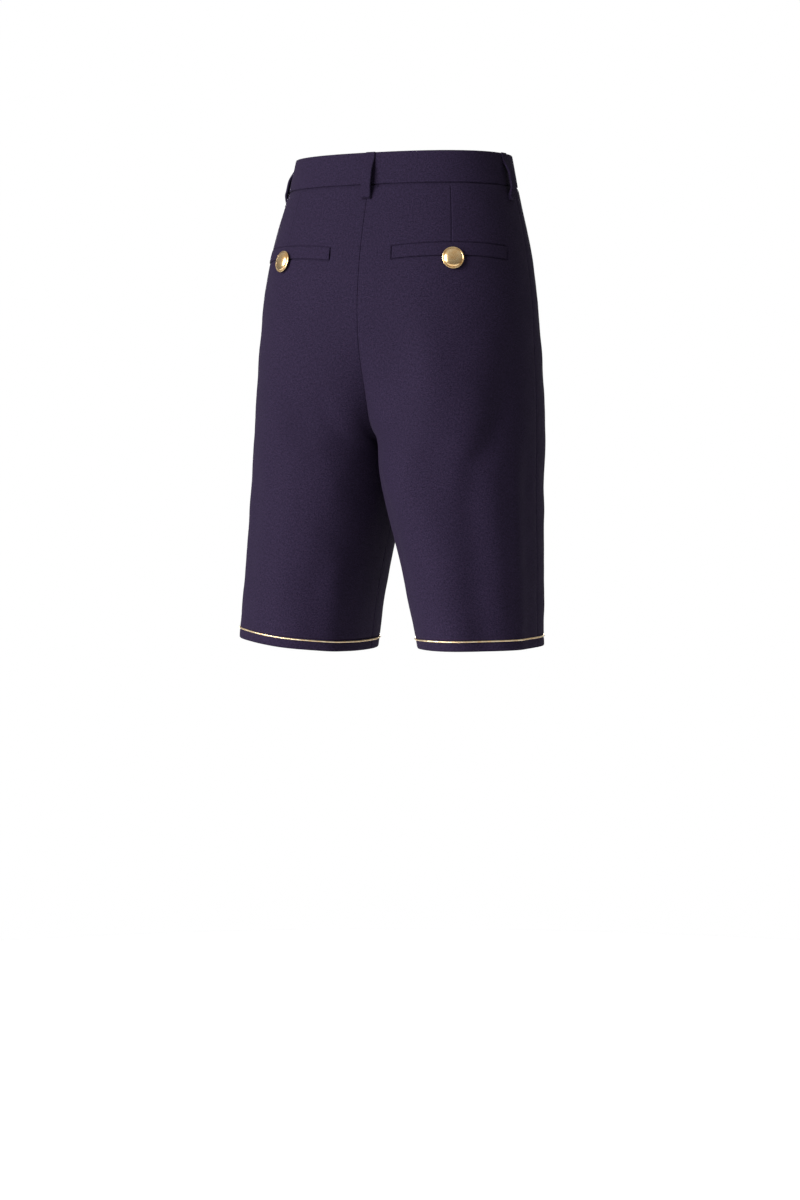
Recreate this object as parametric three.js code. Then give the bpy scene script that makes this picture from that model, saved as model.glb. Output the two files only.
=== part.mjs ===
// Tailored knee-length shorts, hollow, in the form they take when worn: a waistband with belt loops,
// two fronts with a fly, two backs with a welt pocket each, and a metal cord laid round each hem.
// Millimetres, +Z up. The front faces -Y, the wearer's left is +X, the origin is the centre of the waist.
import * as THREE from "three";

// Cloth and seams
const WALL = 1.6;
const SEAM_GAP = 0.3;
const HALF_GAP = SEAM_GAP / 2;

// Heights, from the middle of the waistband
const BAND_TOP = 17.5;
const BAND_SEAM = -17.5;
const FOLD_OF_SEAT = -190;
const CROTCH = -300;
const HEM = -519.5;

// The waist sits a little higher at the back and the right, and the seams lie forward of the widest points
const WAIST_TILT = 1;
const WAIST_ROLL = 2;
const TILT_ENDS = -130;
const SIDE_SEAM_FORWARD = 9;
const INSEAM_FORWARD = 9;
const INSEAM_SETTLES = 60;

// How square the sections are: 2 is an ellipse, more is fuller at the corners
const FRONT_POWER = 2.25;
const BACK_POWER = 2.4;

// One row for each level of one half of the body. The half reaches from inner to outer sideways and
// from -front to back. Where inner is negative the half is cut at the middle plane and meets the other.
const BODY = table("z outer inner front back", [
  [BAND_TOP, 121, -121, 88, 89],
  [BAND_SEAM, 128, -128, 92, 96],
  [-60, 139, -139, 100, 110],
  [-110, 149, -149, 105, 122],
  [-150, 153.5, -132, 107, 126],
  [-200, 156, -74, 107, 126],
  [-240, 157.5, -38, 105, 124],
  [-270, 158.5, -16, 102, 122],
  [-290, 159, -4, 99, 121],
  [CROTCH, 159.5, HALF_GAP, 98, 121],
]);

// The levels of each leg below the crotch, in the same columns
const LEG_LEFT = table("z outer inner front back", [
  [-335, 162.5, 4, 93, 118],
  [-380, 167, 13, 88, 113],
  [-430, 172, 26, 84, 108],
  [-475, 177, 34, 80, 105],
  [HEM, 181.5, 39, 76, 103],
]);
const LEG_RIGHT = table("z outer inner front back", [
  [-335, 159.5, 1, 93, 120],
  [-380, 160, 7, 89, 115],
  [-430, 160.5, 17.5, 85, 110],
  [-475, 161, 27.5, 81, 107],
  [HEM, 161.5, 37.5, 78, 105],
]);

// Soft folds, each a ridge or, with a height below 0, a trough. turn is the direction from the middle of
// the half, in degrees: 0 points to the side, 90 to the back, 180 to the other leg, -90 to the front.
const FOLDS_LEFT = table("top bottom turnTop turnBottom halfWidth height", [
  [-250, -560, 112, 100, 26, 1.6],
  [-225, -365, 88, 150, 15, -2.4],
  [-300, -540, 66, 70, 15, -1.6],
  [-260, -560, -98, -94, 16, 2.2],
  [-290, -520, -128, -122, 16, -1.8],
  [-330, -560, -58, -62, 18, -1.4],
]);
const FOLDS_RIGHT = table("top bottom turnTop turnBottom halfWidth height", [
  [-235, -560, 108, 102, 15, 2.2],
  [-255, -560, 80, 74, 13, -1.8],
  [-330, -560, 44, 48, 18, 1.2],
  [-270, -560, -96, -92, 15, 2.2],
  [-285, -500, -132, -124, 15, -1.8],
  [-350, -560, -60, -66, 18, -1.2],
]);

// How much higher each hem lies on its outer side than on its inner side
const HEM_RISE_LEFT = 15;
const HEM_RISE_RIGHT = 0;

// Rows and columns of each front and back. The easing crowds the rows towards the crotch
const ROWS_ABOVE_SEAT = 8;
const ROWS_TO_CROTCH = 8;
const ROWS_OF_LEG = 10;
const CROTCH_EASING = 2;
const PANEL_COLUMNS = 15;
const ARC_SAMPLES = 120;

// Steps for the direction of the cloth, in radians and millimetres, and halvings to find the middle plane
const TURN_STEP = 0.002;
const HEIGHT_STEP = 0.25;
const HALVINGS = 48;

// Waistband: it starts under the lap on the wearer's right and ends on top of it
const BAND_WALL = 2.2;
const BAND_ROWS = 2;
const BAND_COLUMNS = 76;
const LAP = 15;
const LAP_RISE_LENGTH = 34;

// Belt loops: each rises from its top foot, stands clear of the waistband and falls to its bottom foot,
// at shares of its length. bearing is the direction from the centre of the waist: 90 is the back, 0 the left
const LOOP_WIDTH = 11;
const LOOP_WALL = 1.8;
const LOOP_TOP = 17.5;
const LOOP_BOTTOM = -34;
const LOOP_ROWS = 12;
const LOOP_COLUMNS = 2;
const LOOP_CLEARANCE = 5.2;
const LOOP_TOP_FOOT = 0.1;
const LOOP_RISEN = 0.48;
const LOOP_FALLS = 0.76;
const LOOP_BOTTOM_FOOT = 0.94;
const LOOPS = table("name bearing", [
  ["belt_loop_back", 90],
  ["belt_loop_side_left", 8],
  ["belt_loop_side_right", 176],
  ["belt_loop_front_left", -60],
  ["belt_loop_front_right", -120],
]);

// Fly shield behind the centre front: how many rows and columns of each front it backs
const FLY_ROWS = 7;
const FLY_COLUMNS = 1;
const FLY_CLEARANCE = 0.7;

// Welt pockets on the backs, measured along the cloth from the centre back seam
const WELT_START = 37;
const WELT_LENGTH = 133;
const WELT_HEIGHT = 13;
const WELT_MIDDLE = -90;
const WELT_BOW = 3;
const WELT_WALL = 1;
const WELT_COLUMNS = 12;
const WELT_ROWS = 2;

// Metal buttons on the pockets and a sewn button on the waistband, as half profiles from the back
const POCKET_BUTTON_RADIUS = 12;
const POCKET_BUTTON_PROFILE = table("share height", [
  [0, 0],
  [0.4, 0],
  [0.44, 0.9],
  [0.92, 0.9],
  [1, 1.5],
  [0.98, 2.5],
  [0.9, 2.9],
  [0.82, 2.4],
  [0.6, 3.1],
  [0.3, 3.6],
  [0, 3.8],
]);
const WAIST_BUTTON_RADIUS = 8.5;
const WAIST_BUTTON_PROFILE = table("share height", [
  [0, 0],
  [0.7, 0],
  [1, 0.8],
  [1, 2],
  [0.9, 2.6],
  [0.78, 2.6],
  [0.66, 1.9],
  [0, 1.7],
]);
const BUTTON_SIDES = 28;
const POCKET_BUTTON_DROP = 10;
const WAIST_BUTTON_ARC = 2;

// Metal cord round each hem
const CORD_RADIUS = 1.15;
const CORD_ABOVE_HEM = 11;
const CORD_STEPS = 64;
const CORD_SIDES = 6;

const DEGREE = Math.PI / 180;
const QUARTER_TURN = Math.PI / 2;

// Colours and finishes
const CLOTH = { color: 0x3a2e48, roughness: 0.9, metalness: 0 };
const HORN = { color: 0x2a2230, roughness: 0.35, metalness: 0 };
const GOLD = { color: 0xe0b562, roughness: 0.25, metalness: 1 };

// A list of rows whose cells are read by the name of their column.
function table(columns, cells) {
  const names = columns.split(" ");
  return cells.map((row) => Object.fromEntries(names.map((name, i) => [name, row[i]])));
}

// A smooth curve through one column of a table by height, which never overshoots a row.
function smoothColumn(rows, column) {
  const sorted = [...rows].sort((a, b) => a.z - b.z);
  const steps = sorted.slice(1).map((row, i) => row.z - sorted[i].z);
  const slopes = steps.map((step, i) => (sorted[i + 1][column] - sorted[i][column]) / step);
  const tangents = sorted.map((_, i) => {
    const before = slopes[Math.max(i - 1, 0)];
    const after = slopes[Math.min(i, slopes.length - 1)];
    return before * after <= 0 ? 0 : (2 * before * after) / (before + after);
  });
  return (z) => {
    const above = sorted.findIndex((row) => row.z > z);
    const i = above < 0 ? steps.length - 1 : Math.max(above - 1, 0);
    const t = (z - sorted[i].z) / steps[i];
    const [t2, t3] = [t * t, t * t * t];
    return (
      (2 * t3 - 3 * t2 + 1) * sorted[i][column] +
      (t3 - 2 * t2 + t) * steps[i] * tangents[i] +
      (3 * t2 - 2 * t3) * sorted[i + 1][column] +
      (t3 - t2) * steps[i] * tangents[i + 1]
    );
  };
}

// The form of one half of the shorts. sign is 1 for the wearer's left and -1 for the right.
function makeHalf(sign, leg, folds, hemRise) {
  const rows = [...BODY, ...leg];
  const curves = ["outer", "inner", "front", "back"].map((column) => smoothColumn(rows, column));
  return { sign, folds, hemRise, curves };
}

// Middle and half sizes of a half's section at one level.
function sectionOf(half, z) {
  const [outer, inner, front, back] = half.curves.map((curve) => curve(z));
  return {
    middleX: (outer + inner) / 2,
    middleY: (back - front) / 2,
    halfWidth: (outer - inner) / 2,
    halfDepth: (back + front) / 2,
  };
}

// How far the folds lift the cloth at a level and direction.
function foldHeight(half, z, angle, radius) {
  return half.folds.reduce((sum, fold) => {
    const along = (fold.top - z) / (fold.top - fold.bottom);
    if (along <= 0 || along >= 1) return sum;
    const turn = THREE.MathUtils.lerp(fold.turnTop, fold.turnBottom, along) * DEGREE;
    const across = THREE.MathUtils.euclideanModulo(angle - turn + Math.PI, 2 * Math.PI) - Math.PI;
    const share = (across * radius) / fold.halfWidth;
    return sum + fold.height * Math.sin(Math.PI * along) * Math.exp(-share * share);
  }, 0);
}

// A point of the cloth's outer face, in the half's own section: its distance from the middle plane,
// its depth and its distance from the section's middle.
function sectionPoint(half, z, angle) {
  const { middleX, middleY, halfWidth, halfDepth } = sectionOf(half, z);
  const power = Math.sin(angle) > 0 ? BACK_POWER : FRONT_POWER;
  const across = Math.abs(Math.cos(angle) / halfWidth) ** power;
  const deep = Math.abs(Math.sin(angle) / halfDepth) ** power;
  const plain = (across + deep) ** (-1 / power);
  const radius = plain + foldHeight(half, z, angle, plain);
  return { x: middleX + radius * Math.cos(angle), y: middleY + radius * Math.sin(angle), radius };
}

// The same point in space, with the tilt of the waist and of the hem.
function facePoint(half, z, angle) {
  const { x, y } = sectionPoint(half, z, angle);
  const { middleX, middleY, halfWidth, halfDepth } = sectionOf(half, z);
  const waist = 1 - THREE.MathUtils.smoothstep(-z, -BAND_SEAM, -TILT_ENDS);
  const leg = THREE.MathUtils.smoothstep(-z, -CROTCH, -HEM);
  const tilt = (WAIST_TILT * (y - middleY)) / halfDepth - (WAIST_ROLL * half.sign * x) / halfWidth;
  const rise = (leg * half.hemRise * (x - middleX)) / (2 * halfWidth);
  return new THREE.Vector3(half.sign * x, y, z + waist * tilt + rise);
}

// The outward direction of the cloth at a level and direction.
function faceNormal(half, z, angle) {
  const around = facePoint(half, z, angle + TURN_STEP).sub(facePoint(half, z, angle - TURN_STEP));
  const upward = facePoint(half, z + HEIGHT_STEP, angle).sub(facePoint(half, z - HEIGHT_STEP, angle));
  return around.cross(upward).multiplyScalar(half.sign).normalize();
}

// A point moved out from the cloth's outer face, or in where the distance is below 0.
function clothPoint(half, z, angle, out) {
  return facePoint(half, z, angle).addScaledVector(faceNormal(half, z, angle), out);
}

// The direction where the half's section crosses the middle plane, at the back or the front.
function middleAngle(half, z, back) {
  let [outside, inside] = [QUARTER_TURN / 2, Math.PI];
  for (let i = 0; i < HALVINGS; i++) {
    const trial = (outside + inside) / 2;
    if (sectionPoint(half, z, back ? trial : -trial).x > HALF_GAP) outside = trial;
    else inside = trial;
  }
  return back ? outside : -outside;
}

// The directions of a panel's two long edges at one level, each half a seam gap short of its seam.
function panelEdges(half, z, back) {
  const { halfWidth } = sectionOf(half, z);
  const turn = back ? 1 : -1;
  const sideSeam = -SIDE_SEAM_FORWARD / halfWidth;
  const side = sideSeam + (turn * HALF_GAP) / halfWidth;
  if (z > CROTCH) return [side, middleAngle(half, z, back)];
  const settled = THREE.MathUtils.smoothstep(CROTCH - z, 0, INSEAM_SETTLES);
  const inseam = turn * Math.PI + (INSEAM_FORWARD * settled - turn * HALF_GAP) / halfWidth;
  return [side, inseam];
}

// Directions between two others at one level, spaced evenly along the cloth.
function evenAngles(half, z, [from, to], count) {
  const step = (to - from) / ARC_SAMPLES;
  const samples = Array.from({ length: ARC_SAMPLES + 1 }, (_, i) => from + step * i);
  const lengths = arcLengths(half, z, samples);
  const total = lengths[ARC_SAMPLES];
  return Array.from({ length: count + 1 }, (_, i) => angleAt(samples, lengths, (total * i) / count));
}

// Running length along the cloth at a list of directions.
function arcLengths(half, z, angles) {
  const points = angles.map((angle) => sectionPoint(half, z, angle));
  let run = 0;
  return points.map((point, i) => {
    if (i > 0) run += Math.hypot(point.x - points[i - 1].x, point.y - points[i - 1].y);
    return run;
  });
}

// The direction at one running length.
function angleAt(angles, lengths, length) {
  const next = Math.max(1, lengths.findIndex((value) => value >= length - 1e-9));
  const t = (length - lengths[next - 1]) / (lengths[next] - lengths[next - 1]);
  return THREE.MathUtils.lerp(angles[next - 1], angles[next], t);
}

// Levels from one height to another. easing above 1 brings them closer together towards the end.
function levels(from, to, count, easing = 1) {
  return Array.from({ length: count + 1 }, (_, i) => to + (from - to) * (1 - i / count) ** easing);
}

// A closed wall from two matching grids of points, its outer and inner faces.
function wallGeometry(outer, inner) {
  const [rows, columns] = [outer.length, outer[0].length];
  const points = [...outer.flat(), ...inner.flat()];
  const at = (layer, row, column) => layer * rows * columns + row * columns + column;
  const faces = [];
  const quad = (a, b, c, d) => faces.push(a, b, c, a, c, d);
  for (let row = 0; row < rows - 1; row++) {
    for (let column = 0; column < columns - 1; column++) {
      const [next, below] = [column + 1, row + 1];
      quad(at(0, row, column), at(0, below, column), at(0, below, next), at(0, row, next));
      quad(at(1, row, column), at(1, row, next), at(1, below, next), at(1, below, column));
    }
  }
  for (let row = 0; row < rows - 1; row++) {
    const [below, last] = [row + 1, columns - 1];
    quad(at(0, row, 0), at(1, row, 0), at(1, below, 0), at(0, below, 0));
    quad(at(0, row, last), at(0, below, last), at(1, below, last), at(1, row, last));
  }
  for (let column = 0; column < columns - 1; column++) {
    const [next, last] = [column + 1, rows - 1];
    quad(at(0, 0, column), at(0, 0, next), at(1, 0, next), at(1, 0, column));
    quad(at(0, last, column), at(1, last, column), at(1, last, next), at(0, last, next));
  }
  const geometry = new THREE.BufferGeometry().setFromPoints(points);
  geometry.setIndex(signedVolume(points, faces) < 0 ? faces.reverse() : faces);
  geometry.computeVertexNormals();
  return geometry;
}

// Volume enclosed by triangles, below 0 where they face inwards.
function signedVolume(points, faces) {
  let volume = 0;
  for (let i = 0; i < faces.length; i += 3) {
    const [a, b, c] = [points[faces[i]], points[faces[i + 1]], points[faces[i + 2]]];
    volume += a.dot(b.clone().cross(c)) / 6;
  }
  return volume;
}

// A wall from a function that gives a point for a row, a column and a distance out from the body.
function wallFrom(pointAt, rows, columns, outFace, thickness) {
  const face = (out) =>
    Array.from({ length: rows + 1 }, (_, row) =>
      Array.from({ length: columns + 1 }, (_, column) => pointAt(row, column, out)),
    );
  return wallGeometry(face(outFace), face(outFace - thickness));
}

// The rows of a panel, from the waistband seam to the hem: how high each lies at the side seam and at the
// inner edge, where the rows crowd towards the crotch.
function panelRows() {
  const aboveSeat = levels(BAND_SEAM - HALF_GAP, FOLD_OF_SEAT, ROWS_ABOVE_SEAT);
  const side = [...aboveSeat, ...levels(FOLD_OF_SEAT, HEM, ROWS_TO_CROTCH + ROWS_OF_LEG).slice(1)];
  const inner = [
    ...aboveSeat,
    ...levels(FOLD_OF_SEAT, CROTCH, ROWS_TO_CROTCH, CROTCH_EASING).slice(1),
    ...levels(CROTCH, HEM, ROWS_OF_LEG).slice(1),
  ];
  return inner.map((z, row) => ({ inner: z, side: side[row] }));
}

// A point of a panel, by the share of its way from the side seam to its inner edge.
function panelPoint(half, { inner, side }, angles, column, out) {
  const z = THREE.MathUtils.lerp(side, inner, THREE.MathUtils.smoothstep(column / PANEL_COLUMNS, 0, 1));
  return clothPoint(half, z, angles[column], out);
}

// The directions of the points of a panel's row, from the side seam to its inner edge.
function panelAngles(half, { inner }, back) {
  return evenAngles(half, inner, panelEdges(half, inner, back), PANEL_COLUMNS);
}

// One front or back.
function makePanel(half, back) {
  const rows = panelRows();
  const angles = rows.map((row) => panelAngles(half, row, back));
  const pointAt = (row, column, out) => panelPoint(half, rows[row], angles[row], column, out);
  return wallFrom(pointAt, rows.length - 1, PANEL_COLUMNS, 0, WALL);
}

// A point at the waist by its bearing round the whole body, in radians.
function waistPoint(bearing, z, out) {
  const onLeft = Math.cos(bearing) >= 0;
  return onLeft ? clothPoint(left, z, bearing, out) : clothPoint(right, z, Math.PI - bearing, out);
}

// Distance from the middle of the waist to the cloth at a bearing.
function waistRadius(bearing, z) {
  const onLeft = Math.cos(bearing) >= 0;
  return sectionPoint(onLeft ? left : right, z, onLeft ? bearing : Math.PI - bearing).radius;
}

// The waistband, from its end under the lap round the body to its end on top.
function makeWaistband() {
  const radius = waistRadius(-QUARTER_TURN, 0);
  const lapTurn = LAP / radius;
  const riseTurn = LAP_RISE_LENGTH / radius;
  const start = -QUARTER_TURN - lapTurn;
  const finish = -QUARTER_TURN + lapTurn + 2 * Math.PI;
  const lapStarts = start + 2 * Math.PI - HALF_GAP / radius;
  const heights = levels(BAND_TOP, BAND_SEAM + HALF_GAP, BAND_ROWS);
  const pointAt = (row, column, out) => {
    const bearing = THREE.MathUtils.lerp(start, finish, column / BAND_COLUMNS);
    const lifted = THREE.MathUtils.smoothstep(bearing, lapStarts - riseTurn, lapStarts);
    return waistPoint(bearing, heights[row], out + lifted * (BAND_WALL + SEAM_GAP));
  };
  return wallFrom(pointAt, BAND_ROWS, BAND_COLUMNS, 0, BAND_WALL);
}

// A belt loop: an arch of folded cloth from the top of the waistband to just below its seam.
function makeLoop(bearing) {
  const heights = levels(LOOP_TOP, LOOP_BOTTOM, LOOP_ROWS);
  const pointAt = (row, column, out) => {
    const along = row / LOOP_ROWS;
    const rise = THREE.MathUtils.smoothstep(along, LOOP_TOP_FOOT, LOOP_RISEN);
    const fall = THREE.MathUtils.smoothstep(along, LOOP_FALLS, LOOP_BOTTOM_FOOT);
    const offset = LOOP_WIDTH * (column / LOOP_COLUMNS - 0.5);
    const turn = offset / waistRadius(bearing, heights[row]);
    return waistPoint(bearing + turn, heights[row], out + SEAM_GAP + rise * (1 - fall) * LOOP_CLEARANCE);
  };
  return wallFrom(pointAt, LOOP_ROWS, LOOP_COLUMNS, LOOP_WALL, LOOP_WALL);
}

// The shield behind the fly, against the inside of both fronts.
function makeFlyShield() {
  const rows = panelRows();
  const pointAt = (row, column, out) => {
    const onLeft = column > FLY_COLUMNS;
    const fromMiddle = onLeft ? column - FLY_COLUMNS - 1 : FLY_COLUMNS - column;
    const half = onLeft ? left : right;
    const angles = panelAngles(half, rows[row], false);
    return panelPoint(half, rows[row], angles, PANEL_COLUMNS - fromMiddle, out);
  };
  return wallFrom(pointAt, FLY_ROWS, 2 * FLY_COLUMNS + 1, -WALL - FLY_CLEARANCE, WALL);
}

// The direction on a back a given length along the cloth from the centre back seam.
function angleFromCentreBack(half, z, length) {
  const samples = evenAngles(half, z, [middleAngle(half, z, true), 0], ARC_SAMPLES);
  return angleAt(samples, arcLengths(half, z, samples), length);
}

// The height of a pocket's middle line at a share of its length: a shallow bow, highest in the middle.
function weltHeight(share) {
  return WELT_MIDDLE + WELT_BOW * (0.5 - (2 * share - 1) ** 2);
}

// The welt of a back pocket, lying on its back.
function makeWelt(half) {
  const pointAt = (row, column, out) => {
    const share = column / WELT_COLUMNS;
    const z = weltHeight(share) + WELT_HEIGHT * (0.5 - row / WELT_ROWS);
    return clothPoint(half, z, angleFromCentreBack(half, z, WELT_START + WELT_LENGTH * share), out);
  };
  return wallFrom(pointAt, WELT_ROWS, WELT_COLUMNS, SEAM_GAP + WELT_WALL, WELT_WALL);
}

// A turned button about its own axis, with its back at the origin.
function makeButton(radius, profile) {
  const outline = profile.map((row) => new THREE.Vector2(radius * row.share, row.height));
  return new THREE.LatheGeometry(outline, BUTTON_SIDES).rotateX(QUARTER_TURN);
}

// The cord round a hem, resting on the cloth.
function makeHemCord(half) {
  const z = HEM + CORD_ABOVE_HEM;
  const angles = evenAngles(half, z, [0, 2 * Math.PI], CORD_STEPS).slice(0, CORD_STEPS);
  const points = angles.map((angle) => clothPoint(half, z, angle, SEAM_GAP + CORD_RADIUS));
  const path = new THREE.CatmullRomCurve3(points, true);
  return new THREE.TubeGeometry(path, CORD_STEPS, CORD_RADIUS, CORD_SIDES, true);
}

// A named mesh with its own material.
function addMesh(name, geometry, finish) {
  const mesh = new THREE.Mesh(geometry, new THREE.MeshStandardMaterial(finish));
  mesh.name = name;
  shorts.add(mesh);
  return mesh;
}

// A button turned to face out from the cloth and moved out from its face.
function seatButton(mesh, point, base) {
  const normal = point.clone().sub(base).normalize();
  mesh.position.copy(point);
  mesh.quaternion.setFromUnitVectors(new THREE.Vector3(0, 0, 1), normal);
}

const left = makeHalf(1, LEG_LEFT, FOLDS_LEFT, HEM_RISE_LEFT);
const right = makeHalf(-1, LEG_RIGHT, FOLDS_RIGHT, HEM_RISE_RIGHT);
const shorts = new THREE.Group();
shorts.name = "bermuda_shorts";

for (const [side, half] of Object.entries({ left, right })) {
  addMesh(`front_${side}`, makePanel(half, false), CLOTH);
  addMesh(`back_${side}`, makePanel(half, true), CLOTH);
  addMesh(`welt_${side}`, makeWelt(half), CLOTH);
  addMesh(`hem_cord_${side}`, makeHemCord(half), GOLD);

  const z = weltHeight(0.5) - POCKET_BUTTON_DROP;
  const angle = angleFromCentreBack(half, z, WELT_START + WELT_LENGTH / 2);
  const seat = clothPoint(half, z, angle, 2 * SEAM_GAP + WELT_WALL);
  const turned = makeButton(POCKET_BUTTON_RADIUS, POCKET_BUTTON_PROFILE);
  const button = addMesh(`pocket_button_${side}`, turned, GOLD);
  seatButton(button, seat, facePoint(half, z, angle));
}

addMesh("waistband", makeWaistband(), CLOTH);
addMesh("fly_shield", makeFlyShield(), CLOTH);
for (const loop of LOOPS) addMesh(loop.name, makeLoop(loop.bearing * DEGREE), CLOTH);

const buttonBearing = -QUARTER_TURN + WAIST_BUTTON_ARC / waistRadius(-QUARTER_TURN, 0);
const buttonSeat = waistPoint(buttonBearing, 0, BAND_WALL + 2 * SEAM_GAP);
const waistButton = addMesh("waist_button", makeButton(WAIST_BUTTON_RADIUS, WAIST_BUTTON_PROFILE), HORN);
seatButton(waistButton, buttonSeat, waistPoint(buttonBearing, 0, 0));

export default shorts;
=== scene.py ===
"""Tailored shorts in dark wool crepe: the cloth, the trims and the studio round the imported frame.

The file is laid out as a Blender add-on. Sizes are in metres. The front faces -Y and the wearer's left is +X.
"""

import math
from collections import Counter, defaultdict, namedtuple

import bmesh
import bpy
import numpy as np
from mathutils import Matrix, Vector
from mathutils.kdtree import KDTree


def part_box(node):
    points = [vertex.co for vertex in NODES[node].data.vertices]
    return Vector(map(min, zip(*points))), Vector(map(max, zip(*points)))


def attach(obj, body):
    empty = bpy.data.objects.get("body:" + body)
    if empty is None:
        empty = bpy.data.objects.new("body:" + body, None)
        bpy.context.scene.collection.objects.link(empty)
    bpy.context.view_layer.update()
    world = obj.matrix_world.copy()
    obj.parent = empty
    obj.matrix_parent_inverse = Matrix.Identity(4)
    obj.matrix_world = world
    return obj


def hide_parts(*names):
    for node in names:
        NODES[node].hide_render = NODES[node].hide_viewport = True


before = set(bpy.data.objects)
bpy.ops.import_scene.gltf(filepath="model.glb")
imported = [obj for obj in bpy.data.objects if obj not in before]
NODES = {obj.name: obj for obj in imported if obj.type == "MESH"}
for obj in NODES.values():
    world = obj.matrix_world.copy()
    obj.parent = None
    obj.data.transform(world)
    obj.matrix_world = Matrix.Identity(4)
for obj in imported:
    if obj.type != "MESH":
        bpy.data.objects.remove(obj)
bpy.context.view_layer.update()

bl_info = {
    "name": "Tailored Shorts",
    "version": (1, 0, 0),
    "blender": (4, 5, 0),
    "location": "View3D > Sidebar > Shorts",
    "description": "Dresses a frame of tailored shorts in crepe cloth, metal trims and a studio",
    "category": "Object",
}

MM = 0.001
BODY = "root"
SIDES = ("left", "right")

# Reading the frame: how near points are one, and how sharply a wall turns at its rim
WELD = 0.01 * MM
RIM_ANGLE = math.radians(72)

# Steps for directions of the cloth, in rows and columns of the frame's walls
TURN_STEP = 0.02

# Lines of the fine cloth to each row and column of the frame's walls
PANEL_LINES = 7
BAND_LINES = 4
LOOP_LINES = 6

# Turned edges: steps round the fold, steps along the turning, and the first plain lines past the fold
FOLD_STEPS = 7
TURNING_STEPS = 5
HEM_TURNING_STEPS = 12
PLAIN_AFTER_FOLD = np.array([0.5, 1.1, 1.9]) * MM
PLAIN_AFTER_HEM = np.array([0.8, 1.8, 3.2, 5.0, 7.0]) * MM

# Soft folds of each leg. A path goes down the leg in pairs: a share of the panel from the side seam, 1 at
# the inner edge of the back and -1 at the inner edge of the front, and millimetres above the hem. The half
# width, the relief and the length over which an end fades are in millimetres; a relief below 0 is a trough.
Fold = namedtuple("Fold", "path half_width relief fade")
FOLDS = {
    "left": (
        Fold(((0.60, 340), (0.52, 200), (0.50, 100), (0.55, -90)), 24, 3.8, 90),
        Fold(((0.96, 300), (0.90, 200), (0.88, 110)), 26, 2.6, 70),
        Fold(((0.70, 125), (0.75, -90)), 15, 2.4, 50),
        Fold(((0.34, 260), (0.33, 90), (0.36, -60)), 15, -1.9, 80),
        Fold(((-0.50, 330), (-0.47, 150), (-0.45, -90)), 22, 3.2, 90),
        Fold(((-0.80, 290), (-0.68, 160), (-0.62, 40)), 18, -3.4, 60),
        Fold(((-0.25, 220), (-0.23, -60)), 15, -2.2, 60),
    ),
    "right": (
        Fold(((0.71, 430), (0.62, 240), (0.49, 100), (0.50, -90)), 25, 4.0, 100),
        Fold(((0.18, 370), (0.35, 210), (0.35, 60), (0.35, -120)), 22, -5.8, 125),
        Fold(((0.16, 250), (0.17, -60)), 14, 2.4, 55),
        Fold(((0.86, 270), (0.72, 150), (0.69, 40)), 15, -2.2, 60),
        Fold(((-0.52, 310), (-0.46, 160), (-0.47, -90)), 21, 3.4, 90),
        Fold(((-0.82, 300), (-0.70, 180), (-0.64, 60)), 17, -3.2, 60),
        Fold(((-0.22, 250), (-0.25, -60)), 16, -2.4, 70),
    ),
}

# Broad shifts of the cloth between the legs: the middle, the reach and the shift, in millimetres
Shift = namedtuple("Shift", "middle reach move")
SHIFTS = (
    Shift((0, 70, -238), (50, 60, 42), (0, -12, 0)),
    Shift((-5, 75, -308), (55, 60, 65), (4, 14, 0)),
    Shift((-22, -91, -17), (13, 12, 8), (-0.5, -2.6, 0)),
)

# Rows and columns whose bend at the crotch is softened, and how often
CROTCH_ROWS = (12, 21)
SOFTEN_FROM_SHARE = 0.45
SOFTEN_TIMES = 4

# Slow unevenness of the cloth: wave lengths down and across, phase and height, in millimetres
Ripple = namedtuple("Ripple", "down across phase height")
RIPPLES = (
    Ripple(93, 61, 0.4, 0.22),
    Ripple(57, 118, 2.1, 0.18),
    Ripple(41, 37, 4.0, 0.10),
    Ripple(23, 29, 1.3, 0.05),
)

# How far the cloth of a panel reaches past its frame's edge, to close the line between two panels
SEAM_REACH = 0.14 * MM

# Where the halves meet in a groove, their rounded edges would part: the round and the width that is closed
EDGE_ROUND = 1.0 * MM
EDGE_PRESS = 0.22 * MM
EDGE_ROUND_WIDTH = 5 * MM
CROTCH_ROW = 16

# Seams: how deep and wide the cloth dips beside them, and the small waves that the stitching draws
SEAM_DIP = 0.3 * MM
INNER_DIP = 0.12 * MM
SEAM_DIP_WIDTH = 3.5 * MM
WAIST_DIP = 1.6 * MM
WAIST_DIP_WIDTH = 1.25 * MM
WAIST_REACH = 1.5 * MM
PUCKER = 0.07 * MM
PUCKER_WIDTH = 6 * MM
PUCKER_LENGTH = 9.5 * MM
INNER_EDGE_CALM = 25 * MM

# Dart of each back: a share of the waist seam from the centre back, and its foot's place on the welt
DART_TOP_SHARE = 0.482
DART_FOOT_SHARE = 0.49
DART_DEPTH = 0.55 * MM
DART_WIDTH = 0.55 * MM
DART_FOOT_FADE = 9 * MM
DART_LINES = np.array([-2.2, -1.3, -0.75, -0.38, 0, 0.38, 0.75, 1.3, 2.2]) * MM

# Pocket mouth: the groove round the welt, and the sunk cloth behind it
MOUTH_DEPTH = 1.4 * MM
MOUTH_WIDTH = 0.75 * MM
MOUTH_FROM_EDGE = 0.35 * MM
MOUTH_SUNK = 0.75 * MM
MOUTH_LINES = np.array([-1.0, -0.35, 0.1, 0.5, 0.9, 1.5, 2.4]) * MM
WARP_REACH = 1.3

# Groove above the hem cord
CORD_GROOVE = 0.8 * MM
CORD_GROOVE_WIDTH = 0.5 * MM
CORD_GROOVE_ABOVE = 1.45 * MM
CORD_LINES = np.array([-1.2, -0.7, -0.35, 0, 0.35, 0.7, 1.2, 2.0, 3.2]) * MM


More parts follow.
